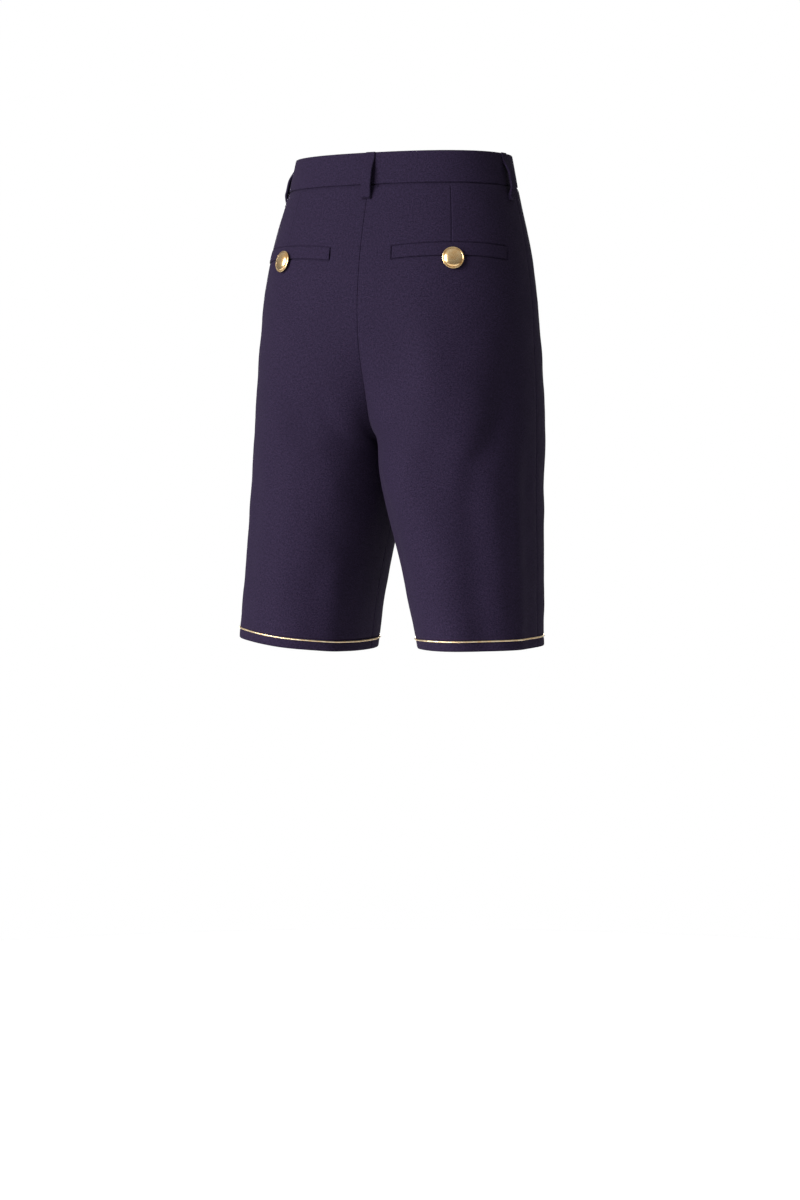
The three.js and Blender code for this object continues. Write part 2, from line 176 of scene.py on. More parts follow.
# Buttonhole: its length and width, and how far its middle lies from the end of the lap
BUTTONHOLE_LENGTH = 21 * MM
BUTTONHOLE_WIDTH = 3.2 * MM
BUTTONHOLE_FROM_END = 17 * MM

# Fly: how far its seam lies from the edge, how deep it goes, and the height of its curve
FLY_PANEL = "front_right"
FLY_STITCH_FROM_EDGE = 32 * MM
FLY_DEPTH = 150 * MM
FLY_CURVE_HEIGHT = 38 * MM
FLY_DIP = 0.4 * MM
FLY_DIP_WIDTH = 2.8 * MM

# Floor
FLOOR_RADIUS = 1.8

# Belt loops: the thickness of their wall in the frame, and the length of the foot that is folded under
LOOP_WALL = 1.8 * MM
FOLDED_END = 12 * MM

# Metal cords and buttons
CORD_POINTS = 46
CORD_STANDS_OUT = 0.4
CURVE_CUTS = 8
ROPE_RING_STEP = 0.42 * MM
ROPE_SIDES = 18
ROPE_STRANDS = 3
BUTTON_SEGMENTS = 72


# Reading the frame


def outer_region(bm):
    """The faces of a wall's largest smooth region, which is its outer face."""
    left = set(bm.faces)
    regions = []
    while left:
        first = left.pop()
        region = {first}
        waiting = [first]
        while waiting:
            face = waiting.pop()
            for edge in face.edges:
                if edge.calc_face_angle(math.pi) > RIM_ANGLE:
                    continue
                for other in edge.link_faces:
                    if other in left:
                        left.discard(other)
                        region.add(other)
                        waiting.append(other)
        regions.append(region)
    return max(regions, key=lambda faces: sum(face.calc_area() for face in faces))


def first_row(bm, region, uses):
    """The points of a wall's top edge, from the corner that two triangles share."""
    beside = defaultdict(list)
    for edge in bm.edges:
        if sum(face in region for face in edge.link_faces) == 1:
            a, b = edge.verts
            beside[a].append(b)
            beside[b].append(a)
    start = max((v for v in uses if uses[v] == 2), key=lambda v: v.co.z)
    paths = []
    for first in beside[start]:
        path = [start, first]
        while uses[path[-1]] > 2:
            path.append(next(v for v in beside[path[-1]] if v != path[-2]))
        paths.append(path)
    return max(paths, key=lambda path: path[-1].co.z)


def outer_grid(name):
    """A CAD wall's outer face as an array of rows of points, and the sign that turns its normals out."""
    bm = bmesh.new()
    bm.from_mesh(NODES[name].data)
    bmesh.ops.remove_doubles(bm, verts=bm.verts, dist=WELD)
    bm.normal_update()
    region = outer_region(bm)
    uses = Counter(v for face in region for v in face.verts)
    spare = set(region)

    def across(a, b):
        """The point that faces an edge in a triangle that hasn't been passed yet."""
        edge = bm.edges.get((a, b))
        face = next((f for f in edge.link_faces if f in spare), None)
        if face is None:
            return None
        spare.discard(face)
        return next(v for v in face.verts if v != a and v != b)

    rows = [first_row(bm, region, uses)]
    while spare:
        upper = rows[-1]
        below = [across(a, b) for a, b in zip(upper, upper[1:])]
        if None in below:
            raise RuntimeError(f"the outer face of {name} isn't a plain grid")
        below.insert(0, across(upper[0], below[0]))
        for a, b in zip(upper[1:], below[2:]):
            across(a, b)
        rows.append(below)
    grid = np.array([[v.co[:] for v in row] for row in rows], float)
    middle = rows[len(rows) // 2][len(rows[0]) // 2]
    outward = sum((f.normal for f in middle.link_faces if f in region), Vector())
    i, j = len(rows) // 2, len(rows[0]) // 2
    turn = np.cross(grid[i, j] - grid[i, j - 1], grid[i, j] - grid[i - 1, j]) @ np.array(outward)
    bm.free()
    return grid, math.copysign(1, turn)


def padded(grid):
    """The grid with one more line on each side, carried on from its last three lines."""
    for axis in (0, 1):
        lines = np.moveaxis(grid, axis, 0)
        before = 3 * lines[0] - 3 * lines[1] + lines[2]
        after = 3 * lines[-1] - 3 * lines[-2] + lines[-3]
        grid = np.moveaxis(np.concatenate([before[None], lines, after[None]]), 0, axis)
    return grid


def spline_weights(t):
    """Weights of four neighbouring points on a smooth curve through them all."""
    t2, t3 = t * t, t * t * t
    return (
        -0.5 * t + t2 - 0.5 * t3,
        1 - 2.5 * t2 + 1.5 * t3,
        0.5 * t + 2 * t2 - 1.5 * t3,
        -0.5 * t2 + 0.5 * t3,
    )


class Wall:
    """The smooth outer face of one CAD wall, read at fractional rows u and columns v."""

    def __init__(self, name):
        self.name = name
        self.grid, self.turn = outer_grid(name)
        if name.startswith(("front_", "back_")):
            self.grid = softened(self.grid)
        self.rows, self.columns = self.grid.shape[0] - 1, self.grid.shape[1] - 1
        self.lines = padded(self.grid)
        steps = np.linalg.norm(np.diff(self.grid, axis=1), axis=2)
        self.widths = steps.sum(axis=1)
        self.heights = np.linalg.norm(np.diff(self.grid, axis=0), axis=2)

    def face(self, u, v):
        """Points of the outer face."""
        u, v = np.broadcast_arrays(np.asarray(u, float), np.asarray(v, float))
        i = np.clip(np.floor(u).astype(int), 0, self.rows - 1)
        j = np.clip(np.floor(v).astype(int), 0, self.columns - 1)
        down, along = spline_weights(u - i), spline_weights(v - j)
        return sum(
            (down[m] * along[n])[..., None] * self.lines[i + m, j + n]
            for m in range(4)
            for n in range(4)
        )

    def normal_of(self, place, u, v):
        """Outward normals of a surface given as a function of u and v."""
        down = place(u + TURN_STEP, v) - place(u - TURN_STEP, v)
        along = place(u, v + TURN_STEP) - place(u, v - TURN_STEP)
        return unit(np.cross(along, down) * self.turn)

    def relief(self, u, v):
        """How far the dressed cloth stands out from the frame."""
        return np.zeros(np.broadcast_shapes(np.shape(u), np.shape(v)))

    def dressed(self, u, v):
        """Points of the dressed cloth's face."""
        normal = self.normal_of(self.face, u, v)
        return self.face(u, v) + normal * self.relief(u, v)[..., None]

    def dressed_normal(self, u, v):
        """Outward normals of the dressed cloth."""
        return self.normal_of(self.dressed, u, v)

    def column_width(self, u):
        """Width of one column at a row."""
        return np.interp(u, np.arange(self.rows + 1), self.widths) / self.columns

    def row_height(self, row, v):
        """Height of one row of the frame along the columns."""
        return np.interp(v, np.arange(self.columns + 1), self.heights[row])


class Loop(Wall):
    """A belt loop, dressed on its outer face, whichever of its two faces the frame's grid follows."""

    def __init__(self, name):
        super().__init__(name)
        middle = (np.array([self.rows / 2]), np.array([self.columns / 2]))
        outward = self.normal_of(self.face, *middle) * self.face(*middle)
        self.underneath = outward[0, :2].sum() < 0
        if self.underneath:
            self.turn = -self.turn

    def relief(self, u, v):
        return super().relief(u, v) + LOOP_WALL * self.underneath


def shifted(points):
    """Points moved by the broad shifts of the cloth."""
    moved = points
    for shift in SHIFTS:
        away = (points / MM - shift.middle) / shift.reach
        moved = moved + np.exp(-(away**2).sum(axis=-1))[..., None] * np.array(shift.move) * MM
    return moved


def softened(grid):
    """A panel's grid with the bend of its inner part at the crotch spread over more rows."""
    grid = grid.copy()
    share = np.linspace(0, 1, grid.shape[1])
    weight = ease((share - SOFTEN_FROM_SHARE) / 0.25) * (share < 1)
    low, high = CROTCH_ROWS
    rows = np.arange(low, high)
    reach = np.sin(math.pi * (rows - low + 0.5) / (high - low))[:, None] * weight[None]
    for _ in range(SOFTEN_TIMES):
        between = (grid[low - 1 : high - 1] + grid[low + 1 : high + 1]) / 2
        grid[low:high] += (between - grid[low:high]) * 0.5 * reach[..., None]
    return grid


def unit(vectors):
    """Vectors brought to length 1."""
    return vectors / np.maximum(np.linalg.norm(vectors, axis=-1, keepdims=True), 1e-12)


def bump(x):
    """A smooth hump, 1 at 0."""
    return np.exp(-x * x)


def ease(x):
    """From 0 to 1 with no corner at either end."""
    t = np.clip(x, 0, 1)
    return t * t * (3 - 2 * t)


# Panels


class Pocket:
    """Where a welt lies on its back: its ends, its middle line and its half height, in rows and columns."""

    def __init__(self, back, welt):
        u, v = np.meshgrid(np.arange(0, 8, 0.05), np.arange(0, back.columns, 0.05), indexing="ij")
        points = back.face(u, v).reshape(-1, 3)
        tree = KDTree(len(points))
        for k, point in enumerate(points):
            tree.insert(point, k)
        tree.balance()
        found = np.array([[tree.find(point)[1] for point in row] for row in welt.grid])
        places_u, places_v = u.ravel()[found], v.ravel()[found]
        self.first = places_v[:, 0].mean()
        self.last = places_v[:, -1].mean()
        self.curve = np.polyfit(places_v[1], places_u[1], 2)
        self.level = places_u[1].mean()
        self.half_height = (welt.heights.sum(axis=0).mean()) / 2
        self.row_height = back.heights[3].mean()
        self.column_width = back.column_width(self.level)
        self.length = abs(self.first - self.last) * self.column_width

    def middle(self, v):
        """The row of the middle line at a column."""
        reach = (min(self.first, self.last) - 1, max(self.first, self.last) + 1)
        return np.polyval(self.curve, np.clip(v, *reach))

    def edge_distance(self, u, v):
        """Distance outside the welt's outline, below 0 inside it."""
        centre = (self.first + self.last) / 2
        beside = np.abs(v - centre) * self.column_width - self.length / 2
        above = np.abs(u - self.middle(v)) * self.row_height - self.half_height
        outside = np.hypot(np.maximum(beside, 0), np.maximum(above, 0))
        return outside + np.minimum(np.maximum(beside, above), 0)


class Panel(Wall):
    """A front or back of one leg, with its folds, seams and, on a back, its dart and pocket mouth."""

    def __init__(self, name):
        super().__init__(name)
        self.back = name.startswith("back")
        self.side = name.split("_")[1]
        self.low = self.grid[..., 2].min()
        self.leg_length = self.heights[-10:].sum(axis=0).mean()
        cord_low, cord_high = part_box(f"hem_cord_{self.side}")
        self.cord_above_hem = (cord_low.z + cord_high.z) / 2 - (hem_middle(self.side))
        self.pocket = Pocket(self, Wall(f"welt_{self.side}")) if self.back else None

    def above_hem(self, u):
        """Length of cloth between a row and the hem."""
        down = np.concatenate([[0], np.cumsum(self.heights.mean(axis=1))])
        return down[-1] - np.interp(u, np.arange(self.rows + 1), down)

    def relief(self, u, v):
        u, v = np.broadcast_arrays(np.asarray(u, float), np.asarray(v, float))
        width = np.interp(u, np.arange(self.rows + 1), self.widths)
        share = v / self.columns
        to_side, to_inner = share * width, (1 - share) * width
        above = self.above_hem(u)
        calm = ease(to_inner / INNER_EDGE_CALM) * ease(above / (8 * MM))
        total = self.folds(share, above, width, ease(to_inner / INNER_EDGE_CALM))
        total = total + self.ripples(share * width, above) * calm
        for distance, dip in ((to_side, SEAM_DIP), (to_inner, INNER_DIP)):
            total = total - dip * bump(distance / SEAM_DIP_WIDTH)
        total = total - WAIST_DIP * bump(u * self.heights[0].mean() / WAIST_DIP_WIDTH)
        for distance in (to_side, to_inner):
            waves = np.sin(2 * math.pi * above / PUCKER_LENGTH + 1.7 * np.sin(above / (21 * MM)))
            total = total + PUCKER * waves * bump(distance / PUCKER_WIDTH) * ease(above / (15 * MM))
        groove = above - self.cord_above_hem - CORD_GROOVE_ABOVE
        total = total - CORD_GROOVE * bump(groove / CORD_GROOVE_WIDTH)
        if self.back:
            total = total + self.dart(u, v) + self.mouth(u, v)
        if self.name == FLY_PANEL:
            total = total - FLY_DIP * bump(self.from_fly_seam(u, v) / FLY_DIP_WIDTH)
        return total

    def dressed(self, u, v):
        """Points of the dressed cloth's face, with its broad shifts and its closed centre seam."""
        points = shifted(super().dressed(u, v))
        normal = self.normal_of(self.face, u, v)
        aside = 1 if self.side == "left" else -1
        facing = np.clip(-aside * normal[..., 0], 0, 1)
        rounding = EDGE_ROUND * (np.sqrt(1 - facing**2) + facing - 1) + EDGE_PRESS * facing
        to_inner = (1 - np.asarray(v) / self.columns) * self.column_width(u) * self.columns
        over_crotch = 1 - ease(np.asarray(u) - CROTCH_ROW + 0.6)
        points[..., 0] -= aside * rounding * bump(to_inner / EDGE_ROUND_WIDTH) * over_crotch
        return points

    def folds(self, share, above, width, fade):
        """The soft folds that cross this panel."""
        around = share if self.back else -share
        total = np.zeros(share.shape)
        for fold in FOLDS[self.side]:
            places, heights = np.array(fold.path[::-1]).T
            centre = np.interp(above / MM, heights, places)
            ends = (above / MM - heights[0], heights[-1] - above / MM)
            swell = ease(ends[0] / fold.fade) * ease(ends[1] / fold.fade)
            total += fold.relief * MM * swell * bump((around - centre) * width / (fold.half_width * MM))
        return total * fade

    def ripples(self, beside, above):
        """Slow unevenness, the same on both sides of the side seam."""
        beside = beside if self.back else -beside
        turn = 2 * math.pi / MM
        return sum(
            r.height * MM * np.sin(turn * above / r.down + r.phase) * np.cos(turn * beside / r.across + r.phase)
            for r in RIPPLES
        )

    def dart_column(self, u):
        """The column of the dart at a row."""
        foot = self.pocket.first + (self.pocket.last - self.pocket.first) * DART_FOOT_SHARE
        top = self.columns * (1 - DART_TOP_SHARE)
        share = np.clip(u / self.dart_foot(), 0, 1)
        return top + (foot - top) * share

    def dart_foot(self):
        """The row where the dart ends, at the top edge of the welt."""
        return self.pocket.level - self.pocket.half_height / self.pocket.row_height

    def dart(self, u, v):
        """The sewn line of the dart, pressed towards the centre back."""
        beside = (v - self.dart_column(u)) * self.column_width(u)
        to_foot = (self.dart_foot() - u) * self.pocket.row_height
        fade = ease(to_foot / DART_FOOT_FADE + 0.3)
        pressed = 0.35 * DART_DEPTH * bump((beside - 3 * DART_WIDTH) / (2.5 * DART_WIDTH))
        return (pressed - DART_DEPTH * bump(beside / DART_WIDTH)) * fade

    def mouth(self, u, v):
        """The groove round the welt and the sunk cloth behind it."""
        distance = self.pocket.edge_distance(u, v)
        groove = MOUTH_DEPTH * bump((distance - MOUTH_FROM_EDGE) / MOUTH_WIDTH)
        sunk = MOUTH_SUNK * ease((MOUTH_FROM_EDGE - distance) / MOUTH_WIDTH)
        return -np.maximum(groove, sunk)

    def from_fly_seam(self, u, v):
        """Distance from the fly's seam, which goes down beside the edge and curves in to it at its foot."""
        down = u * self.heights[3].mean()
        beside = (self.columns - v) * self.column_width(u)
        below = np.maximum(down - (FLY_DEPTH - FLY_CURVE_HEIGHT), 0) / FLY_CURVE_HEIGHT
        return (np.hypot(beside / FLY_STITCH_FROM_EDGE, below) - 1) * FLY_STITCH_FROM_EDGE

    def feature_rows(self):
        """Rows that need lines of their own, for the pocket mouth."""
        if not self.back:
            return np.array([])
        offsets = (self.pocket.half_height + MOUTH_LINES) / self.pocket.row_height
        return self.pocket.level + np.concatenate([-offsets[::-1], offsets])

    def feature_columns(self):
        """Columns that need lines of their own, for the ends of the pocket mouth and the dart."""
        if not self.back:
            return np.array([])
        beside = MOUTH_LINES / self.pocket.column_width
        low, high = sorted((self.pocket.first, self.pocket.last))
        dart = self.dart_column(self.dart_foot()) + DART_LINES / self.pocket.column_width
        return np.concatenate([low - beside[::-1], dart, high + beside])

    def warp(self, u, v):
        """Lines moved to follow the dart and the bowed welt."""
        if not self.back:
            return u, v
        foot = self.dart_column(self.dart_foot())
        v = v + (self.dart_column(u) - foot) * bump((v - foot) / WARP_REACH)
        bow = self.pocket.middle(v) - self.pocket.level
        return u + bow * bump((u - self.pocket.level) / WARP_REACH), v


def hem_middle(side):
    """The middle height of a leg's hem, halfway between its outer and inner side."""
    heights = np.concatenate([outer_grid(f"{part}_{side}")[0][-1, :, 2] for part in ("front", "back")])
    return (heights.min() + heights.max()) / 2


def turned_edge(turning, steps, radius, half, plain):
    """Cloth that turns back under its edge, from the raw end of the turning: distance from the edge, depth below
    the face and tilt of the face."""
    tilts = np.linspace(math.pi, 0, FOLD_STEPS)
    hidden = np.linspace(turning, half + radius, steps, endpoint=False)
    distance = np.concatenate([hidden, half + radius * (1 - np.sin(tilts)), half + radius + plain])
    tilt = np.concatenate([np.full(steps, math.pi), tilts, np.zeros(len(plain))])
    return distance, radius * (1 - np.cos(tilt)), tilt


def spread_lines(first, last, count, extra):
    """Even lines from one place to another, with extra lines in place of those that lie too near them."""
    even = np.linspace(first, last, count + 1)
    if not len(extra):
        return even
    near = 0.35 * (last - first) / count
    kept = [x for x in even if np.abs(extra - x).min() > near]
    return np.sort(np.concatenate([kept, extra]))


def panel_sheet(panel, cloth):
    """The middle surface of a panel with its turnings, and how far each point lies across and down."""
    half, radius = cloth.thickness / 2, cloth.seam_radius
    side, side_depth, _ = turned_edge(cloth.seam_turning, TURNING_STEPS, radius, half, PLAIN_AFTER_FOLD)
    side = side - SEAM_REACH
    top, top_depth, top_tilt = turned_edge(
        cloth.waist_turning, TURNING_STEPS, radius, half, PLAIN_AFTER_FOLD
    )
    top = top - WAIST_REACH
    plain = np.sort(np.concatenate([PLAIN_AFTER_HEM, panel.cord_above_hem + CORD_GROOVE_ABOVE + CORD_LINES]))
    hem, hem_depth, hem_tilt = turned_edge(
        cloth.hem_turning, HEM_TURNING_STEPS, cloth.hem_radius, half, plain - half - cloth.hem_radius
    )

    height = panel.heights[-1].mean()
    low = panel.rows - (hem[-1] + 2 * MM) / height
    inner_rows = spread_lines(0.2, low, int(panel.rows * PANEL_LINES), panel.feature_rows())
    inner_columns = spread_lines(0.22, panel.columns - 0.22, panel.columns * PANEL_LINES, panel.feature_columns())

    base_u = np.concatenate(
        [top / panel.heights[0].mean(), inner_rows, (panel.rows - hem / height)[::-1]]
    )
    n_side, n_top, n_hem = len(side), len(top), len(hem)
    width = panel.column_width(base_u)[:, None]
    v = np.concatenate(
        [
            side[None] / width,
            np.repeat(inner_columns[None], len(base_u), axis=0),
            panel.columns - side[::-1][None] / width,
        ],
        axis=1,
    )
    u = np.repeat(base_u[:, None], v.shape[1], axis=1)
    u[:n_top] = top[:, None] / panel.row_height(0, v[:n_top])
    u[-n_hem:] = panel.rows - hem[::-1, None] / panel.row_height(-1, v[-n_hem:])
    u[n_top:-n_hem], v[n_top:-n_hem] = panel.warp(u[n_top:-n_hem], v[n_top:-n_hem])

    points, normals = panel.dressed(u, v), panel.dressed_normal(u, v)
    depth = np.zeros(u.shape)
    depth[:n_top] = top_depth[:, None]
    depth[-n_hem:] = hem_depth[::-1, None]
    tilt = np.zeros(u.shape)
    tilt[:n_top] = top_tilt[:, None]
    tilt[-n_hem:] = hem_tilt[::-1, None]
    towards = unit(panel.dressed(u + TURN_STEP, v) - points)
    towards[:n_top] *= -1
    points = points - normals * (half + depth)[..., None]
    faced = normals * np.cos(tilt)[..., None] + towards * np.sin(tilt)[..., None]
    inward = np.zeros(u.shape)
    inward[:, :n_side] = side_depth
    inward[:, -n_side:] = side_depth[::-1]
    points = points - faced * inward[..., None]
    return points, grain(points)


def grain(points):
    """Lengths across and down a grid of points, measured along its middle lines."""
    across = np.linalg.norm(np.diff(points, axis=1), axis=2)
    down = np.linalg.norm(np.diff(points, axis=0), axis=2)
    x = np.concatenate([np.zeros((len(points), 1)), np.cumsum(across, axis=1)], axis=1)
    y = np.concatenate([np.zeros((1, points.shape[1])), np.cumsum(down, axis=0)], axis=0)
    return np.stack([x - x.mean(axis=1, keepdims=True), -y], axis=-1)


# Meshes


def grid_faces(rows, columns, start=0, flip=False):
    """Quads of a grid of points numbered row by row."""
    at = start + np.arange(rows * columns).reshape(rows, columns)
    quads = np.stack([at[:-1, :-1], at[1:, :-1], at[1:, 1:], at[:-1, 1:]], axis=-1).reshape(-1, 4)
    return quads[:, ::-1] if flip else quads


def make_object(name, points, faces, material, uv=None):
    """A smooth mesh object in the scene, with its finish and, if given, its cloth grain."""
    mesh = bpy.data.meshes.new(name)
    faces = faces.tolist() if isinstance(faces, np.ndarray) else faces
    mesh.from_pydata(np.asarray(points).reshape(-1, 3).tolist(), [], faces)
    if uv is not None:
        layer = mesh.uv_layers.new(name="grain")
        corners = np.zeros(len(mesh.loops), int)
        mesh.loops.foreach_get("vertex_index", corners)
        layer.data.foreach_set("uv", uv.reshape(-1, 2)[corners].astype(np.float32).ravel())
    mesh.shade_smooth()
    mesh.materials.append(material)
    obj = bpy.data.objects.new(name, mesh)
    bpy.context.scene.collection.objects.link(obj)
    return obj


def ride(obj, *nodes):
    """obj moves with the body and stands for these CAD nodes."""
    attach(obj, BODY)
    if nodes:
        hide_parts(*nodes)
    return obj


def face_out(obj, outward):
    """Turns a sheet's faces to the side where its first normals should look."""
    mesh = obj.data
    first = mesh.polygons[len(mesh.polygons) // 2]
    if first.normal.dot(outward) < 0:
        mesh.flip_normals()


def sheet_area(points):
    """Area of a grid of points."""
    a, b = points[1:, 1:] - points[:-1, :-1], points[1:, :-1] - points[:-1, 1:]
    return float(np.linalg.norm(np.cross(a, b), axis=-1).sum() / 2)


def declare_sheet(points):
    """Works out a sheet's widest row, its longest column and its area, and keeps none of them."""
    width = np.linalg.norm(np.diff(points, axis=1), axis=2).sum(axis=1).max()
    length = np.linalg.norm(np.diff(points, axis=0), axis=2).sum(axis=0).max()
    area = min(sheet_area(points), width * length)


def rounded_lines(length, radius, step):
    """Places along a length with closer lines where both its ends round off, and how full each is."""
    turn = np.linspace(0, math.pi / 2, FOLD_STEPS)
    edge = radius * (1 - np.cos(turn))
    count = max(2, int((length - 2 * radius) / step))
    inside = np.linspace(radius, length - radius, count + 1)[1:-1]
    places = np.concatenate([edge, inside, length - edge[::-1]])
    full = np.sqrt(np.clip(1 - (1 - np.minimum(places, length - places) / radius).clip(0, 1) ** 2, 0, 1))
    return places, full


def padded_strip(wall, thickness, step, crown=0.0, sunk=0.0, foot=0.0):
    """A strip of folded cloth with round edges and a thicker foot: its points and faces."""
    half = thickness / 2
    high, long = wall.heights.sum(axis=0).mean(), wall.widths.mean()
    down, down_full = rounded_lines(high, half, step)
    along, along_full = rounded_lines(long, half, step)
    u, v = np.meshgrid(down / high * wall.rows, along / long * wall.columns, indexing="ij")
    face, normal = wall.dressed(u, v), wall.dressed_normal(u, v)
    full = (down_full[:, None] * along_full[None])[..., None]
    swell = np.sin(math.pi * down / high) * crown + ease((FOLDED_END - high + down) / FOLDED_END) * foot
    shape = swell[:, None, None] * full
    outer = face - normal * (half * (1 - full) - shape + sunk)
    inner = face - normal * (thickness - half * (1 - full) + sunk)
    rows, columns = u.shape
    faces = np.concatenate(
        [grid_faces(rows, columns), grid_faces(rows, columns, rows * columns, flip=True)]
    )
    return np.stack([outer, inner]), faces


def close_rim(obj):
    """Joins the two layers of a strip where they meet at its rim."""
    bm = bmesh.new()
    bm.from_mesh(obj.data)
    bmesh.ops.remove_doubles(bm, verts=bm.verts, dist=WELD)
    bmesh.ops.recalc_face_normals(bm, faces=bm.faces)
    bm.to_mesh(obj.data)
    bm.free()
    obj.data.shade_smooth()


def make_strip(name, wall, thickness, step, material, crown=0.0, sunk=0.0, foot=0.0):
    """A strip of folded cloth as an object that stands for its CAD node."""
    points, faces = padded_strip(wall, thickness, step, crown, sunk, foot)
    uv = np.stack([grain(points[0]), grain(points[1])])
    obj = make_object(name, points, faces, material, uv)
    close_rim(obj)
    declare_sheet(points[0])
    return ride(obj, wall.name)


def capsules(starts, ends, radius, sides=6, rings=4):
    """Points and faces of many small stitches, each a round-ended thread between two places."""
    starts, ends = np.asarray(starts), np.asarray(ends)
    axis = unit(ends - starts)
    helper = np.where(np.abs(axis[:, 2:]) > 0.8, [[1.0, 0, 0]], [[0, 0, 1.0]])
    a = unit(np.cross(axis, helper))
    b = np.cross(axis, a)
    lengths = np.linalg.norm(ends - starts, axis=1)[:, None, None]
    turn = np.linspace(0, math.pi, rings + 2)[1:-1]
    share = (1 - np.cos(turn)) / 2
    wide = np.sin(turn) ** 0.5 * radius
    spin = np.arange(sides) * 2 * math.pi / sides
    ring = a[:, None] * np.cos(spin)[None, :, None] + b[:, None] * np.sin(spin)[None, :, None]
    body = (
        starts[:, None, None]
        + axis[:, None, None] * (lengths * share[None, :, None])[..., None]
        + ring[:, None] * wide[None, :, None, None]
    )
    count, per = len(starts), rings * sides + 2
    points = np.concatenate([body.reshape(count, -1, 3), starts[:, None], ends[:, None]], axis=1)
    around = list(range(sides))
    after = around[1:] + around[:1]
    faces = []
    for ring_number in range(rings - 1):
        low, high = ring_number * sides, (ring_number + 1) * sides
        faces += [[low + i, low + j, high + j, high + i] for i, j in zip(around, after)]
    tip, tail, last = rings * sides, rings * sides + 1, (rings - 1) * sides
    faces += [[tip, j, i] for i, j in zip(around, after)]
    faces += [[tail, last + i, last + j] for i, j in zip(around, after)]
    return points.reshape(-1, 3), [[k * per + i for i in face] for k in range(count) for face in faces]


# Trims


def node_points(name):
    """The CAD node's points, each once."""
    bm = bmesh.new()
    bm.from_mesh(NODES[name].data)
    bmesh.ops.remove_doubles(bm, verts=bm.verts, dist=WELD)
    points = np.array([v.co[:] for v in bm.verts], float)
    bm.free()
    return points


def cord_path(side, radius):
    """The line of a hem cord on the dressed cloth, closed round the leg."""
    lines = []
    for part in ("front", "back"):
        panel = Panel(f"{part}_{side}")
        v = np.linspace(0.1, panel.columns - 0.1, CORD_POINTS)
        u = panel.rows - panel.cord_above_hem / panel.row_height(-1, v)
        lines.append(panel.dressed(u, v) + panel.dressed_normal(u, v) * radius * CORD_STANDS_OUT)
    return np.concatenate([lines[0], lines[1][::-1]])


def closed_curve(points, step):
    """A closed smooth curve through points, cut into even steps."""
    looped = np.concatenate([points[-1:], points, points[:2]])
    t = np.linspace(0, 1, CURVE_CUTS, endpoint=False)[:, None]
    weights = spline_weights(t)
    pieces = [sum(w * looped[i + m] for m, w in enumerate(weights)) for i in range(len(points))]
    fine = np.concatenate(pieces + [pieces[0][:1]])
    along = np.concatenate([[0], np.cumsum(np.linalg.norm(np.diff(fine, axis=0), axis=1))])
    count = round(along[-1] / step)
    places = np.linspace(0, along[-1], count, endpoint=False)
    return np.stack([np.interp(places, along, fine[:, k]) for k in range(3)], axis=1), along[-1]


def rope(points, length, radius, lay, strands, sides):
    """A closed rope of round strands twisted round a line: its points and faces."""
    count = len(points)
    along = unit(np.roll(points, -1, axis=0) - np.roll(points, 1, axis=0))
    aside = unit(np.cross(along, [0, 0, 1.0]))
    upward = np.cross(aside, along)
    turns = round(length / lay)
    spin = np.arange(sides) * 2 * math.pi / sides
    twist = np.arange(count)[:, None] * 2 * math.pi * turns / count
    lobe = 2 * math.pi / strands
    off = np.mod(spin[None] - twist + lobe / 2, lobe) - lobe / 2
    strand = radius * math.sin(lobe / 2) / (1 + math.sin(lobe / 2))
    middle = radius - strand
    reach = middle * np.cos(off) + np.sqrt(np.maximum(strand**2 - (middle * np.sin(off)) ** 2, 0))
    reach = np.maximum(reach, 0.6 * radius)[..., None]
    rings = points[:, None] + reach * (
        aside[:, None] * np.cos(spin)[None, :, None] + upward[:, None] * np.sin(spin)[None, :, None]
    )
    at = np.arange(count * sides).reshape(count, sides)
    below, after = np.roll(at, -1, axis=0), np.roll(at, -1, axis=1)
    quads = np.stack([at, after, np.roll(below, -1, axis=1), below], axis=-1)
    return rings, quads.reshape(-1, 4)


class Disc:
    """Where a CAD button lies: the middle of its back, its axis, its radius and its height."""

    def __init__(self, name):
        points = node_points(name)
        centre = points.mean(axis=0)
        spread = points - centre
        axis = np.linalg.svd(spread, full_matrices=False)[2][2]
        if axis @ (centre * [1, 1, 0]) < 0:
            axis = -axis
        along = spread @ axis
        flat = spread - along[:, None] * axis
        self.axis, self.radius = axis, np.linalg.norm(flat, axis=1).max()
        self.height = along.max() - along.min()
        self.back = centre + axis * along.min()
        self.aside = unit(np.cross([0, 0, 1.0], axis))
        self.upward = np.cross(axis, self.aside)

    def place(self, x, y, out):
        """Points given across, up and out from the back of the button."""
        x, y, out = (np.asarray(value)[..., None] for value in np.broadcast_arrays(x, y, out))
        return self.back + x * self.aside + y * self.upward + out * self.axis


def turned_button(disc, profile, segments, pressed=None):
    """A round button from its outline, given as radius and height from the middle of its face to its back."""
    radii, heights = np.array(profile).T
    spin = np.arange(segments) * 2 * math.pi / segments
    x, y = radii[:, None] * np.cos(spin), radii[:, None] * np.sin(spin)
    out = np.repeat(heights[:, None], segments, axis=1)
    if pressed:
        out = pressed(x, y, out)
    points = disc.place(x, y, out)
    at = np.arange(points[..., 0].size).reshape(len(radii), segments)
    after = np.roll(at, -1, axis=1)
    quads = np.stack([at[:-1], at[1:], after[1:], after[:-1]], axis=-1).reshape(-1, 4)
    return points, quads


def smooth_line(corners, step):
    """A line of places a step apart through given corners."""
    corners = np.array(corners, float)
    along = np.concatenate([[0], np.cumsum(np.linalg.norm(np.diff(corners, axis=0), axis=1))])
    places = np.linspace(0, along[-1], max(2, round(along[-1] / step)))
    return np.stack([np.interp(places, along, corners[:, k]) for k in range(corners.shape[1])], axis=1)


